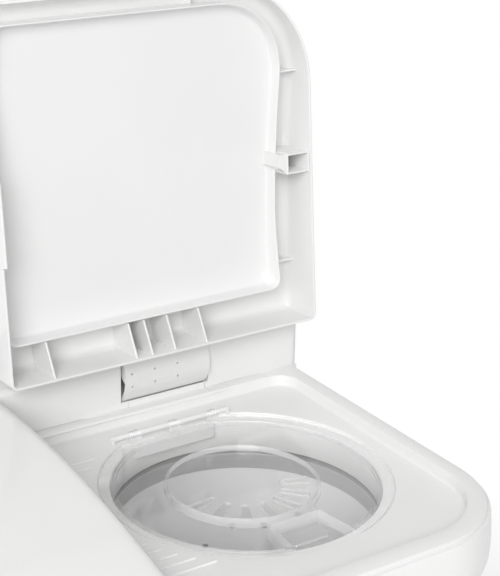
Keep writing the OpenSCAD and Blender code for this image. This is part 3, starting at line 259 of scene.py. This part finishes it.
def outline(x0, x1, y0, y1, radii, right=(), left=(), steps=14):
    """Points round a rectangle in mm with a radius for each corner, from the front right
    corner round to the left. The sides are also cut at the given shares of their length."""
    ends = [(x1, y0, radii[0]), (x1, y1, radii[1]), (x0, y1, radii[2]), (x0, y0, radii[3])]
    ring = []
    for n, (x, y, radius) in enumerate(ends):
        middle = (x - radius if n < 2 else x + radius, y + radius if n in (0, 3) else y - radius)
        for i in range(steps + 1):
            angle = radians(90 * (n - 1 + i / steps))
            ring.append((middle[0] + radius * cos(angle), middle[1] + radius * sin(angle)))
        if n in (0, 2):
            start = ring[-1][1]
            stop = y1 - radii[1] if n == 0 else y0 + radii[3]
            ring += [(x, start + share * (stop - start)) for share in (right if n == 0 else left)]
    return ring


def circle(centre, radius, count=96):
    """Points round a circle."""
    angles = [2 * pi * i / count for i in range(count)]
    return [(centre[0] + radius * cos(angle), centre[1] + radius * sin(angle)) for angle in angles]


def loft(shape, rings):
    """Joins rings of points, each as long as the next, and returns their corners."""
    rows = [[shape.verts.new(point) for point in ring] for ring in rings]
    for low, high in zip(rows, rows[1:]):
        for i in range(len(low)):
            j = (i + 1) % len(low)
            shape.faces.new((low[i], low[j], high[j], high[i]))
    return rows


def cover(shape, rows):
    """Closes the flat area inside the first row and outside the others."""
    edges = []
    for row in rows:
        for i, corner in enumerate(row):
            mate = row[(i + 1) % len(row)]
            edges.append(shape.edges.get((corner, mate)) or shape.edges.new((corner, mate)))
    bmesh.ops.triangle_fill(shape, edges=edges, use_beauty=True)


def prism(shape, corners, start, stop, axis=0):
    """Solid with the given side view, carried along an axis."""
    def place(across, pair):
        return pair[:axis] + (across,) + pair[axis:]
    rows = loft(shape, [[place(across, pair) for pair in corners] for across in (start, stop)])
    for row in rows:
        shape.faces.new(row)


def finished(name, shape, finish, move, sheet=0, edge=0):
    """Turns a shape drawn in mm into a piece and moves it to its place. A sheet is given its
    thickness in mm, and with edge its sharp edges get that radius."""
    bmesh.ops.recalc_face_normals(shape, faces=shape.faces)
    for face in shape.faces:
        face.smooth = True
    bmesh.ops.scale(shape, vec=(0.001, 0.001, 0.001), verts=shape.verts)
    bmesh.ops.transform(shape, matrix=move, verts=shape.verts)
    mesh = bpy.data.meshes.new(name)
    shape.to_mesh(mesh)
    shape.free()
    mesh.set_sharp_from_angle(angle=radians(38))
    mesh.materials.append(finish)
    piece = bpy.data.objects.new(name, mesh)
    bpy.context.collection.objects.link(piece)
    if sheet:
        wall = piece.modifiers.new("wall", "SOLIDIFY")
        wall.thickness, wall.offset = sheet / 1000, -1
        wall.use_even_offset, wall.use_quality_normals = True, True
    if edge:
        ease = piece.modifiers.new("edges", "BEVEL")
        ease.limit_method, ease.angle_limit = "ANGLE", radians(40)
        ease.width, ease.segments, ease.harden_normals = edge / 1000, 2, True
    return piece


deck_plastic = moulded("deck_white", (0.85, 0.85, 0.845), 0.24, grain=3, relief=0.03)
# Rows of (inset, height): the skirt from its foot up to the rim, the recess from the rim down
skirt_rows = [(3.4, -42), (2.0, -40), (0.9, -36), (0.25, -31), (0, -25), (0.1, -17), (0.5, -9),
              (1.0, -2), (1.5, 3.4), (1.8, 5.4), (2.1, 6.5), (2.8, 6.8), (4.4, 6.8), (4.9, 7.1),
              (5.0, 7.6), (5.1, 9.6), (5.5, 10.4), (6.3, rim_level)]
recess_rows = [(-0.8, rim_level), (-0.3, 10.6), (0, 10.2), (0.5, 3.4), (0.8, 2), (1.4, 1),
               (2.4, 0.3), (4, 0)]
# Rows of (growth, height) and of (radius, height) down into the two mouths
tub_mouth_rows = [(2.5, 0), (1.2, -0.25), (0.35, -0.9), (0, -2), (0, -25)]
spin_mouth_rows = [(132.4, 0), (131.5, -0.25), (131.05, -1), (131, -3), (130.5, -3.5), (121.6, -3.5),
                   (120.6, -3.8), (120, -4.8), (120, -32.4), (120.4, -33)]
# Under the console, behind the step, the skirt's top stays out at the side. The sides are cut
# just before and behind the step, at these shares of their length.
step_y, step_inset, beside = 127.5, 0.3, 350
step_cuts = dict(right=(0.7626, 0.7656), left=(0.2344, 0.2374))

deck_shape = bmesh.new()
rim_rings = []
for inset, height in skirt_rows:
    ring = []
    corner, back_corner = deck_corner - inset, deck_back_corner
    for x, y in outline(-deck_side + inset, deck_side - inset, deck_front + inset, deck_back,
                        (corner, back_corner, back_corner, corner), **step_cuts):
        if y >= step_y and abs(x) >= beside:
            x = x * (deck_side - min(inset, step_inset)) / abs(x)
        ring.append((x, y, height))
    rim_rings.append(ring)
skirt = loft(deck_shape, rim_rings)
recess_rings = []
for inset, height in recess_rows:
    corner, back_corner = recess_corner - inset, recess_back_corner - inset
    recess_rings.append([(x, y, height) for x, y in outline(
        -recess_side + inset, recess_side - inset, recess_front + inset, recess_back - inset,
        (corner, back_corner, back_corner, corner))])
recess = loft(deck_shape, recess_rings)
tub_mouth = loft(deck_shape, [
    [(x, y, height) for x, y in outline(
        tub_mouth_x[0] - grow, tub_mouth_x[1] + grow, tub_mouth_y[0] - grow, tub_mouth_y[1] + grow,
        (tub_mouth_corner + grow,) * 4)]
    for grow, height in tub_mouth_rows])
spin_mouth = loft(deck_shape, [
    [(x, y, height) for x, y in circle(spin_centre, radius)] for radius, height in spin_mouth_rows])
cover(deck_shape, [recess[-1], tub_mouth[0], spin_mouth[0]])


def around(x0, x1, y0, y1):
    """Corners of a rectangle."""
    return [(x0, y0), (x1, y0), (x1, y1), (x0, y1)]


# Shallow notches under the hinge plates, then openings for wires, water and two pull rods
notch_left, notch_right, notch_front, notch_back, notch_depth = 41, 45, 118.5, 131.8, 1.2
notches = []
for place in hinge_places:
    plan = around(place - notch_left, place + notch_right, notch_front, notch_back)
    notch = loft(deck_shape, [[(x, y, z) for x, y in plan]
                              for z in (rim_level, rim_level - notch_depth)])
    deck_shape.faces.new(notch[1])
    notches.append(notch)
openings = [around(-250, -210, 141.3, 199), around(-90, -30, 141.3, 183),
            around(304.5, 328.5, 141.3, 199), circle((40, 150), 5, 24), circle((274.25, 158.86), 2, 24)]
openings = [[deck_shape.verts.new((x, y, rim_level)) for x, y in opening] for opening in openings]
cover(deck_shape, [skirt[-1], recess[0]] + [notch[0] for notch in notches] + openings)
deck_up = Matrix.Translation((0, 0, floor_level / 1000))
deck = finished("deck_moulding", deck_shape, deck_plastic, deck_up, sheet=deck_wall)
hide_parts("top_deck")
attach(deck, "machine")

# A solid segment inside the mouth's back wall, under the bar that the clear lid turns on
pocket_radius = 121
pocket_turns = (16.8, 12, 6, 0, -6, -12, -18, -22.5, -26.8)  # degrees round the spin mouth
middle_x, middle_y = spin_centre
arc = [(middle_x + pocket_radius * sin(radians(turn)), middle_y + pocket_radius * cos(radians(turn)))
       for turn in pocket_turns]
pocket_shape = bmesh.new()
prism(pocket_shape, [(middle_x + 35, middle_y + 108)] + arc, -16, -3.6, axis=2)
pocket = finished("hinge_pocket", pocket_shape, deck_plastic, deck_up, edge=0.8)
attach(pocket, "machine")

shortest_rib = 0.022  # m; a shorter one is left out


def drip_rib_tree():
    """Half-round ribs in a row, each cut off by a circle round the spin mouth. Sizes are in m."""
    tree = bpy.data.node_groups.new("drip_ribs", "GeometryNodeTree")
    ports = tree.interface
    inputs = (("Count", "Int"), ("Pitch", "Float"), ("Rib radius", "Float"), ("Left end", "Float"),
              ("Clear radius", "Float"), ("Centre", "Vector"), ("Finish", "Material"))
    for label, kind in inputs:
        ports.new_socket(label, in_out="INPUT", socket_type="NodeSocket" + kind)
    ports.new_socket("Geometry", in_out="OUTPUT", socket_type="NodeSocketGeometry")
    given, made = tree.nodes.new("NodeGroupInput").outputs, tree.nodes.new("NodeGroupOutput")
    link = tree.links.new

    def fed(node, values):
        """Sets or links a node's inputs in turn and returns its first output."""
        for socket, value in zip(node.inputs, values):
            if isinstance(value, (int, float)):
                socket.default_value = value
            else:
                link(value, socket)
        return node.outputs[0]

    def sums(operation, *values):
        node = tree.nodes.new("ShaderNodeMath")
        node.operation = operation
        return fed(node, values)

    def triple(x=0, y=0, z=0):
        return fed(tree.nodes.new("ShaderNodeCombineXYZ"), (x, y, z))

    # One point for each rib, in a row from front to back
    line = tree.nodes.new("GeometryNodeMeshLine")
    link(given["Count"], line.inputs["Count"])
    gaps = sums("SUBTRACT", given["Count"], 1)
    link(triple(y=sums("MULTIPLY", gaps, sums("MULTIPLY", given["Pitch"], -0.5))),
         line.inputs["Start Location"])
    link(triple(y=given["Pitch"]), line.inputs["Offset"])

    # Each rib runs from the left end to the circle, so its length follows its place in the row.
    place = tree.nodes.new("GeometryNodeInputPosition")
    parts = tree.nodes.new("ShaderNodeSeparateXYZ")
    link(place.outputs[0], parts.inputs[0])
    reach = sums("SQRT", sums("SUBTRACT", sums("POWER", given["Clear radius"], 2),
                              sums("POWER", parts.outputs[1], 2)))
    length = sums("SUBTRACT", given["Left end"], reach)
    middle = sums("MULTIPLY", sums("ADD", given["Left end"], reach), -0.5)
    keep_length = tree.nodes.new("GeometryNodeCaptureAttribute")
    keep_length.capture_items.new("FLOAT", "Length")
    link(line.outputs["Mesh"], keep_length.inputs["Geometry"])
    link(length, keep_length.inputs["Length"])
    move = tree.nodes.new("GeometryNodeSetPosition")
    link(keep_length.outputs["Geometry"], move.inputs["Geometry"])
    shift = tree.nodes.new("ShaderNodeVectorMath")
    link(given["Centre"], shift.inputs[0])
    link(triple(x=middle), shift.inputs[1])
    link(shift.outputs[0], move.inputs["Offset"])

    # A rod of 1 m is laid on each point and scaled to the rib's length.
    rod = tree.nodes.new("GeometryNodeMeshCylinder")
    rod.inputs["Vertices"].default_value = 16
    rod.inputs["Depth"].default_value = 1.0
    link(given["Rib radius"], rod.inputs["Radius"])
    copies = tree.nodes.new("GeometryNodeInstanceOnPoints")
    link(move.outputs["Geometry"], copies.inputs["Points"])
    link(rod.outputs["Mesh"], copies.inputs["Instance"])
    long_enough = tree.nodes.new("FunctionNodeCompare")
    long_enough.data_type, long_enough.operation = "FLOAT", "GREATER_THAN"
    link(keep_length.outputs["Length"], long_enough.inputs["A"])
    long_enough.inputs["B"].default_value = shortest_rib
    link(long_enough.outputs["Result"], copies.inputs["Selection"])
    copies.inputs["Rotation"].default_value = (0, pi / 2, 0)
    link(triple(x=1, y=1, z=keep_length.outputs["Length"]), copies.inputs["Scale"])
    whole = tree.nodes.new("GeometryNodeRealizeInstances")
    link(copies.outputs["Instances"], whole.inputs["Geometry"])
    paint = tree.nodes.new("GeometryNodeSetMaterial")
    link(whole.outputs["Geometry"], paint.inputs["Geometry"])
    link(given["Finish"], paint.inputs["Material"])
    link(paint.outputs["Geometry"], made.inputs["Geometry"])
    return tree


def grown(name, tree, **sizes):
    """Runs a tree once and keeps what it makes as a plain mesh."""
    holder = bpy.data.objects.new(name + "_seed", bpy.data.meshes.new(name + "_seed"))
    bpy.context.collection.objects.link(holder)
    maker = holder.modifiers.new(name, "NODES")
    maker.node_group = tree
    for label, value in sizes.items():
        set_input(maker, label.replace("_", " "), value)
    graph = bpy.context.evaluated_depsgraph_get()
    mesh = bpy.data.meshes.new_from_object(holder.evaluated_get(graph))
    bpy.data.objects.remove(holder)
    mesh.name = name
    piece = bpy.data.objects.new(name, mesh)
    bpy.context.collection.objects.link(piece)
    return piece


ribs = grown("drip_ribs", drip_rib_tree(), Count=17, Pitch=0.0127, Rib_radius=0.0013,
             Left_end=0.158, Clear_radius=0.140,
             Centre=(spin_centre[0] / 1000, spin_centre[1] / 1000, floor_level / 1000),
             Finish=deck_plastic)
for face in ribs.data.polygons:
    face.use_smooth = True
ribs.data.set_sharp_from_angle(angle=radians(40))
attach(ribs, "machine")

# ---- Clear inner lid ----
# A transparent lid with a sunk, slotted middle and a finger notch turns on a white bar
# behind the spin mouth.


def clear_moulding(name):
    """Thin clear plastic: open in its flats, with white painted into the walls of its rims and slots
    and most of all on their rounded edges, as painted highlight for the light such edges catch. The
    lamps shine through it."""
    finish = moulded(name, (0.93, 0.93, 0.93), 0.08, grain=20, relief=0.05, mottle=0.005)
    nodes, links = finish.node_tree.nodes, finish.node_tree.links
    place = nodes.new("ShaderNodeTexCoord")
    parts = nodes.new("ShaderNodeSeparateXYZ")
    links.new(place.outputs["Normal"], parts.inputs[0])
    level = nodes.new("ShaderNodeMath")
    level.operation = "ABSOLUTE"
    links.new(parts.outputs["Z"], level.inputs[0])
    painted_edge_light = nodes.new("ShaderNodeMath")
    painted_edge_light.operation = "MULTIPLY"
    # The level is 1 on a flat, about 0.7 on a rounded edge and 0 on an upright wall.
    flat_to_edge, wall_to_edge = (0.97, 0.5, 0.045, 0.85), (0.1, 0.45, 0.55, 1.0)
    for socket, span in zip(painted_edge_light.inputs, (flat_to_edge, wall_to_edge)):
        part = nodes.new("ShaderNodeMapRange")
        for label, value in zip(("From Min", "From Max", "To Min", "To Max"), span):
            part.inputs[label].default_value = value
        links.new(level.outputs["Value"], part.inputs["Value"])
        links.new(part.outputs["Result"], socket)
    # Painted highlight: by the surface's slant, opaque white is mixed in over the clear on walls and
    # rounded edges.
    open_way = nodes.new("ShaderNodeBsdfTransparent")
    painted_edge_light_mix = nodes.new("ShaderNodeMixShader")
    links.new(painted_edge_light.outputs["Value"], painted_edge_light_mix.inputs["Fac"])
    links.new(open_way.outputs["BSDF"], painted_edge_light_mix.inputs[1])
    links.new(nodes["Principled BSDF"].outputs["BSDF"], painted_edge_light_mix.inputs[2])
    # A little mirror shine, stronger at a slant
    slant = nodes.new("ShaderNodeLayerWeight")
    slant.inputs["Blend"].default_value = 0.35
    shine = nodes.new("ShaderNodeMapRange")
    shine.inputs["To Min"].default_value = 0.02
    shine.inputs["To Max"].default_value = 0.22
    links.new(slant.outputs["Facing"], shine.inputs["Value"])
    gloss = nodes.new("ShaderNodeBsdfGlossy")
    gloss.inputs["Roughness"].default_value = 0.05
    skin = nodes.new("ShaderNodeMixShader")
    links.new(shine.outputs["Result"], skin.inputs["Fac"])
    links.new(painted_edge_light_mix.outputs["Shader"], skin.inputs[1])
    links.new(gloss.outputs["BSDF"], skin.inputs[2])
    # Light from the lamps passes without a shadow.
    path = nodes.new("ShaderNodeLightPath")
    lit = nodes.new("ShaderNodeMixShader")
    links.new(path.outputs["Is Shadow Ray"], lit.inputs["Fac"])
    links.new(skin.outputs["Shader"], lit.inputs[1])
    links.new(open_way.outputs["BSDF"], lit.inputs[2])
    links.new(lit.outputs["Shader"], nodes["Material Output"].inputs["Surface"])
    return finish


dress("inner_lid", clear_moulding("clear_plastic"), edge=0.6)
dress("inner_lid_bar", deck_plastic, edge=0.4)

# ---- Console ----
# The moulded console stands behind the lids. It holds the timers and selectors under a
# grey panel, and the hinge pins run through its cheeks.

panel_plastic = moulded("panel_grey", (0.42, 0.44, 0.46), 0.35)
knob_plastic = moulded("knob_grey", (0.50, 0.52, 0.54), 0.3)
dress("console_body", deck_plastic, edge=0.8)
dress("console_back", cover_plastic, edge=0.4)
dress("timers", painted_steel, edge=0.6)
dress("control_panel", panel_plastic, edge=0.4)
dress("hinge_inserts", deck_plastic, edge=0.3)
dress("hinge_pins", zinc, edge=0.3)
for knob in ("wash_timer_knob", "spin_timer_knob", "drain_selector_knob", "inlet_selector_knob"):
    dress(knob, knob_plastic, edge=0.8)

# ---- Lids ----
# Each lid is a glossy white shell with a curved top, over a liner: a flat panel with a thin
# upright border, which short webs tie to the back skirt. A moulded hinge plate behind each
# carries it on two pins in the console.

lid_plastic = moulded("lid_white", (0.84, 0.84, 0.835), 0.1, grain=3, relief=0.008)
liner_plastic = moulded("liner_white", (0.84, 0.84, 0.838), 0.3, grain=1, relief=0.03)
lid_front, lid_back = -210.0, 126.0
skirt_foot = 11.3
lid_corner, lid_back_corner, lid_middle_corner = 100, 7, 9
liner_corner, liner_small_corner, liner_front_gap, liner_back_gap = 75, 12, 18, 33
open_angle = 95.75
hinge_line = Vector((0, 0.1386, 0.8395))
swing = (Matrix.Translation(hinge_line) @ Matrix.Rotation(radians(-open_angle), 4, "X")
         @ Matrix.Translation(-hinge_line))


def crown(y):
    """Height of a shut lid's top, which curves a little more towards the back."""
    return 61.5 - (0.0005 if y < 60 else 0.0007) * (y - 60) ** 2


def dome(shape, x0, x1, y0, y1, radii, rows, height, left_cuts=()):
    """Closed shell under or over the crown, from rings of (inset, drop) that end in the middle."""
    rings = []
    cuts = [i / 14 for i in range(1, 14)]
    for inset, drop in rows:
        turned = [max(radius - inset, 2.5) for radius in radii]
        ring = outline(x0 + inset, x1 - inset, y0 + inset, y1 - inset, turned, cuts,
                       sorted(cuts + list(left_cuts)))
        rings.append([(x, y, height(x, y, inset, drop)) for x, y in ring])
    rows_made = loft(shape, rings)
    for row in (rows_made[0], rows_made[-1]):
        cover(shape, [row])


inner_insets = (14, 24, 40, 60, 85, 110, 135, 158)
# Rows of (inset, drop): over the top, round the skirt's lip, and back along the inside
shell_rows = [(inset, 0) for inset in reversed(inner_insets)]
shell_rows += [(9, 0.1), (6, 0.6), (3.8, 1.6), (2.1, 3.1), (0.9, 5), (0.25, 7.2), (0, 9.8)]
shell_rows += [(inset, -1 - rise) for inset, rise in ((0, 0.9), (0.2, 0.25), (0.8, 0), (1.7, 0),
                                                      (2.3, 0.25), (2.5, 0.9))]
shell_rows += [(2.5, 10.5), (3.1, 7.4), (4.6, 4.9), (6.8, 3.3), (9.5, 2.6)]
shell_rows += [(inset, 2.5) for inset in inner_insets]
# The spin lid's left skirt reaches lower from the second to the third of these places.
tab_places, tab_depth, tab_side = (14, 12, -60, -75), 7.5, 60


def lid_height(tab):
    """Level of a lid's shell: drops count from the crown, and the lip's rows from the skirt's foot."""
    def height(x, y, inset, drop):
        if drop >= 0:
            return crown(y) - drop
        reach = 0
        if tab and x < tab_side:
            back, full_back, full_front, front = tab_places
            reach = tab_depth * max(0, min(1, (y - front) / (full_front - front),
                                           (back - y) / (back - full_back)))
        return skirt_foot - 1 - drop - reach
    return height


def back_webs(shape, hinge_x):
    """Short upright webs that tie the liner to the back skirt."""
    side_view = [(124.5, skirt_foot + 2), (93.2, 28.3), (93.2, crown(93) - 2), (110, crown(110) - 2),
                 (118, crown(118) - 3), (124.5, crown(124) - 8)]
    for along in (-131, -47, -30.5, -6, 28.5):
        prism(shape, side_view, hinge_x + along - 1, hinge_x + along + 1)


def liner_height(x, y, inset, drop):
    """Level of a liner: its border reaches lower towards the back."""
    return crown(y) - drop - (0.1 * max(0, y - 20) if drop > 16 else 0)


# Rows of (inset, drop): along the hidden side, round the border, and along the panel
liner_rows = [(inset, 11) for inset in reversed(inner_insets[:7])]
liner_rows += [(6, 11), (3.4, 10.6), (2.5, 8.5), (2.4, 3), (1.9, 2.6), (0.5, 2.6), (0, 3.1),
               (0.15, 13), (0.3, 23.6), (0.6, 24.6), (1.3, 25), (2, 24.6), (2.3, 23.6), (2.5, 15.6),
               (3, 14.2), (4.2, 13.3), (6.2, 13)]
liner_rows += [(inset, 13) for inset in inner_insets[:7]]

lids = {
    "wash": dict(x0=-372.0, x1=40.5, fronts=(lid_middle_corner, lid_corner), liner=(-344.0, 34.5),
                 liner_fronts=(liner_small_corner, liner_corner), move=Matrix()),
    "spin": dict(x0=43.5, x1=372.0, fronts=(lid_corner, lid_middle_corner), liner=(49.5, 344.0),
                 liner_fronts=(liner_corner, liner_small_corner), move=swing),
}
for side, hinge_x in zip(("wash", "spin"), hinge_places):
    plan = lids[side]
    move = plan["move"] @ deck_up
    right_radius, left_radius = plan["fronts"]
    spin_side = side == "spin"
    shell = bmesh.new()
    side_start = lid_back - lid_back_corner
    side_run = side_start - lid_front - left_radius
    tab_cuts = [(side_start - y) / side_run for y in tab_places] if spin_side else ()
    dome(shell, plan["x0"], plan["x1"], lid_front, lid_back,
         (right_radius, lid_back_corner, lid_back_corner, left_radius), shell_rows,
         lid_height(spin_side), tab_cuts)
    piece = finished(side + "_lid_shell", shell, lid_plastic, move)
    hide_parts(side + "_lid")
    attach(piece, side + "_lid")

    webs = bmesh.new()
    back_webs(webs, hinge_x)
    near, far = ((plan["liner"][1], plan["x1"] - 2) if spin_side
                 else (plan["x0"] + 2, plan["liner"][0]))
    for y in (-119, 71):
        low, high = crown(y) - 15, crown(y) - 2
        prism(webs, around(near, far, low, high), y - 0.9, y + 0.9, axis=1)
    prism(webs, [(-208.5, crown(-208) - 10), (-191.5, crown(-191) - 9), (-191.5, crown(-191) - 2),
                 (-200, crown(-200) - 3)], hinge_x + 30.5 - 0.9, hinge_x + 30.5 + 0.9)
    piece = finished(side + "_lid_webs", webs, lid_plastic, move, edge=0.5)
    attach(piece, side + "_lid")

    liner = bmesh.new()
    right_radius, left_radius = plan["liner_fronts"]
    dome(liner, *plan["liner"], lid_front + liner_front_gap, lid_back - liner_back_gap,
         (right_radius, liner_small_corner, liner_small_corner, left_radius), liner_rows, liner_height)
    piece = finished(side + "_lid_panel", liner, liner_plastic, move)
    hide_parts(side + "_lid_liner")
    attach(piece, side + "_lid")
    dress(side + "_hinge_plate", lid_plastic, edge=0.12)

# The catch socket: a square tube between the right skirt and the liner's border
middle_y, mouth_z, outer, bore = -33.0, skirt_foot + 3, (344.4, 370.0), (346.2, 368.5)
arm_end, arm_half, arm_slant = 336.5, 9.5, 7
catch = bmesh.new()
rings = []
for (x0, x1), half, z in ((bore, 8, 50), (bore, 8, mouth_z + 0.8), ((345.7, 369), 8.5, mouth_z),
                          ((344.9, 369.6), 9.5, mouth_z), (outer, 10, mouth_z + 0.8), (outer, 10, 54)):
    rings.append([(x, y, z) for x, y in around(x0, x1, middle_y - half, middle_y + half)])
rows = loft(catch, rings)
catch.faces.new(rows[0])
catch.faces.new(rows[-1])
# Its arm reaches over the border towards the panel, with a slanted underside.
prism(catch, [(middle_y - arm_half, 46), (middle_y + arm_half, 46), (middle_y + arm_half, mouth_z + 1),
              (middle_y - arm_half, mouth_z + 1)], arm_end, 345)
for corner in catch.verts:
    if corner.co.x < arm_end + 0.5 and corner.co.y > middle_y:
        corner.co.y -= arm_slant
catch_socket = finished("catch_socket", catch, lid_plastic, swing @ deck_up, edge=0.3)
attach(catch_socket, "spin_lid")

# ---- Studio ----
# A white floor and soft lamps. Away from the machine the floor goes over to plain white.


def background_rays(nodes, links):
    """1 for the rays that show the background: the camera's, and those off a mirror or through
    something clear."""
    path = nodes.new("ShaderNodeLightPath")
    shown = path.outputs["Is Camera Ray"]
    for kind in ("Is Transmission Ray", "Is Glossy Ray"):
        either = nodes.new("ShaderNodeMath")
        either.operation = "MAXIMUM"
        links.new(shown, either.inputs[0])
        links.new(path.outputs[kind], either.inputs[1])
        shown = either.outputs["Value"]
    return shown


half_floor = 30.0  # m
fade_start, fade_end = 0.7, 1.7  # m from the machine's middle
floor_mesh = bpy.data.meshes.new("studio_floor")
corners = around(-half_floor, half_floor, -half_floor, half_floor)
floor_mesh.from_pydata([(x, y, 0) for x, y in corners], [], [(0, 1, 2, 3)])
floor = bpy.data.objects.new("studio_floor", floor_mesh)
bpy.context.collection.objects.link(floor)
floor_paint = bpy.data.materials.new("floor_white")
floor_paint.use_nodes = True
nodes, links = floor_paint.node_tree.nodes, floor_paint.node_tree.links
paint = nodes["Principled BSDF"]
paint.inputs["Base Color"].default_value = (0.86, 0.86, 0.86, 1)
paint.inputs["Roughness"].default_value = 0.9
spot = nodes.new("ShaderNodeTexCoord")
reach = nodes.new("ShaderNodeVectorMath")
reach.operation = "LENGTH"
links.new(spot.outputs["Object"], reach.inputs[0])
away = nodes.new("ShaderNodeMapRange")
away.interpolation_type = "SMOOTHSTEP"
away.inputs["From Min"].default_value = fade_start
away.inputs["From Max"].default_value = fade_end
links.new(reach.outputs["Value"], away.inputs["Value"])
seen = nodes.new("ShaderNodeMath")
seen.operation = "MULTIPLY"
links.new(background_rays(nodes, links), seen.inputs[0])
links.new(away.outputs["Result"], seen.inputs[1])
white = nodes.new("ShaderNodeEmission")
white.inputs["Color"].default_value = (1, 1, 1, 1)
blend = nodes.new("ShaderNodeMixShader")
links.new(seen.outputs["Value"], blend.inputs["Fac"])
links.new(paint.outputs["BSDF"], blend.inputs[1])
links.new(white.outputs["Emission"], blend.inputs[2])
links.new(blend.outputs["Shader"], nodes["Material Output"].inputs["Surface"])
floor_mesh.materials.append(floor_paint)

world = bpy.data.worlds.new("studio")
bpy.context.scene.world = world
world.use_nodes = True
nodes, links = world.node_tree.nodes, world.node_tree.links
sky = nodes["Background"]
sky.inputs["Color"].default_value = (1, 1, 1, 1)
sky.inputs["Strength"].default_value = 0.56
backdrop = nodes.new("ShaderNodeBackground")
backdrop.inputs["Color"].default_value = (1, 1, 1, 1)
backdrop.inputs["Strength"].default_value = 1.0
both = nodes.new("ShaderNodeMixShader")
links.new(background_rays(nodes, links), both.inputs["Fac"])
links.new(sky.outputs["Background"], both.inputs[1])
links.new(backdrop.outputs["Background"], both.inputs[2])
links.new(both.outputs["Shader"], nodes["World Output"].inputs["Surface"])


def soft_lamp(name, place, aim, size, power):
    """Round lamp, with its place and size in m and its power in W, turned towards a point."""
    lamp = bpy.data.lights.new(name, "AREA")
    lamp.shape, lamp.size, lamp.energy = "DISK", size, power
    holder = bpy.data.objects.new(name, lamp)
    holder.location = place
    holder.rotation_mode = "QUATERNION"
    holder.rotation_quaternion = (Vector(aim) - Vector(place)).to_track_quat("-Z", "Y")
    bpy.context.collection.objects.link(holder)


soft_lamp("key_lamp", (-2.31, -2.85, 2.9), (0, 0, 0.85), 2.2, 118)
soft_lamp("back_lamp", (-1.2, 3.8, 1.5), (0, 0, 0.7), 2.0, 40)

# The camera was fitted to the photograph's straight edges and to the circles of the spin mouth.
lens_data = bpy.data.cameras.new("camera")
lens_data.lens = 93.4
camera = bpy.data.objects.new("camera", lens_data)
bpy.context.collection.objects.link(camera)
azimuth, elevation, roll = radians(34.19), radians(21.34), radians(1.29)
forward = Vector((sin(azimuth) * cos(elevation), cos(azimuth) * cos(elevation), -sin(elevation)))
level = Vector((cos(azimuth), -sin(azimuth), 0))
upright = level.cross(forward)
right = cos(roll) * level + sin(roll) * upright
up = -sin(roll) * level + cos(roll) * upright
turn = Matrix((right, up, -forward)).transposed()
camera_place = (-0.4500, -0.9951, 1.4211)
camera.matrix_world = Matrix.Translation(camera_place) @ turn.to_4x4()
bpy.context.scene.camera = camera
bpy.context.scene.view_settings.view_transform = "Standard"
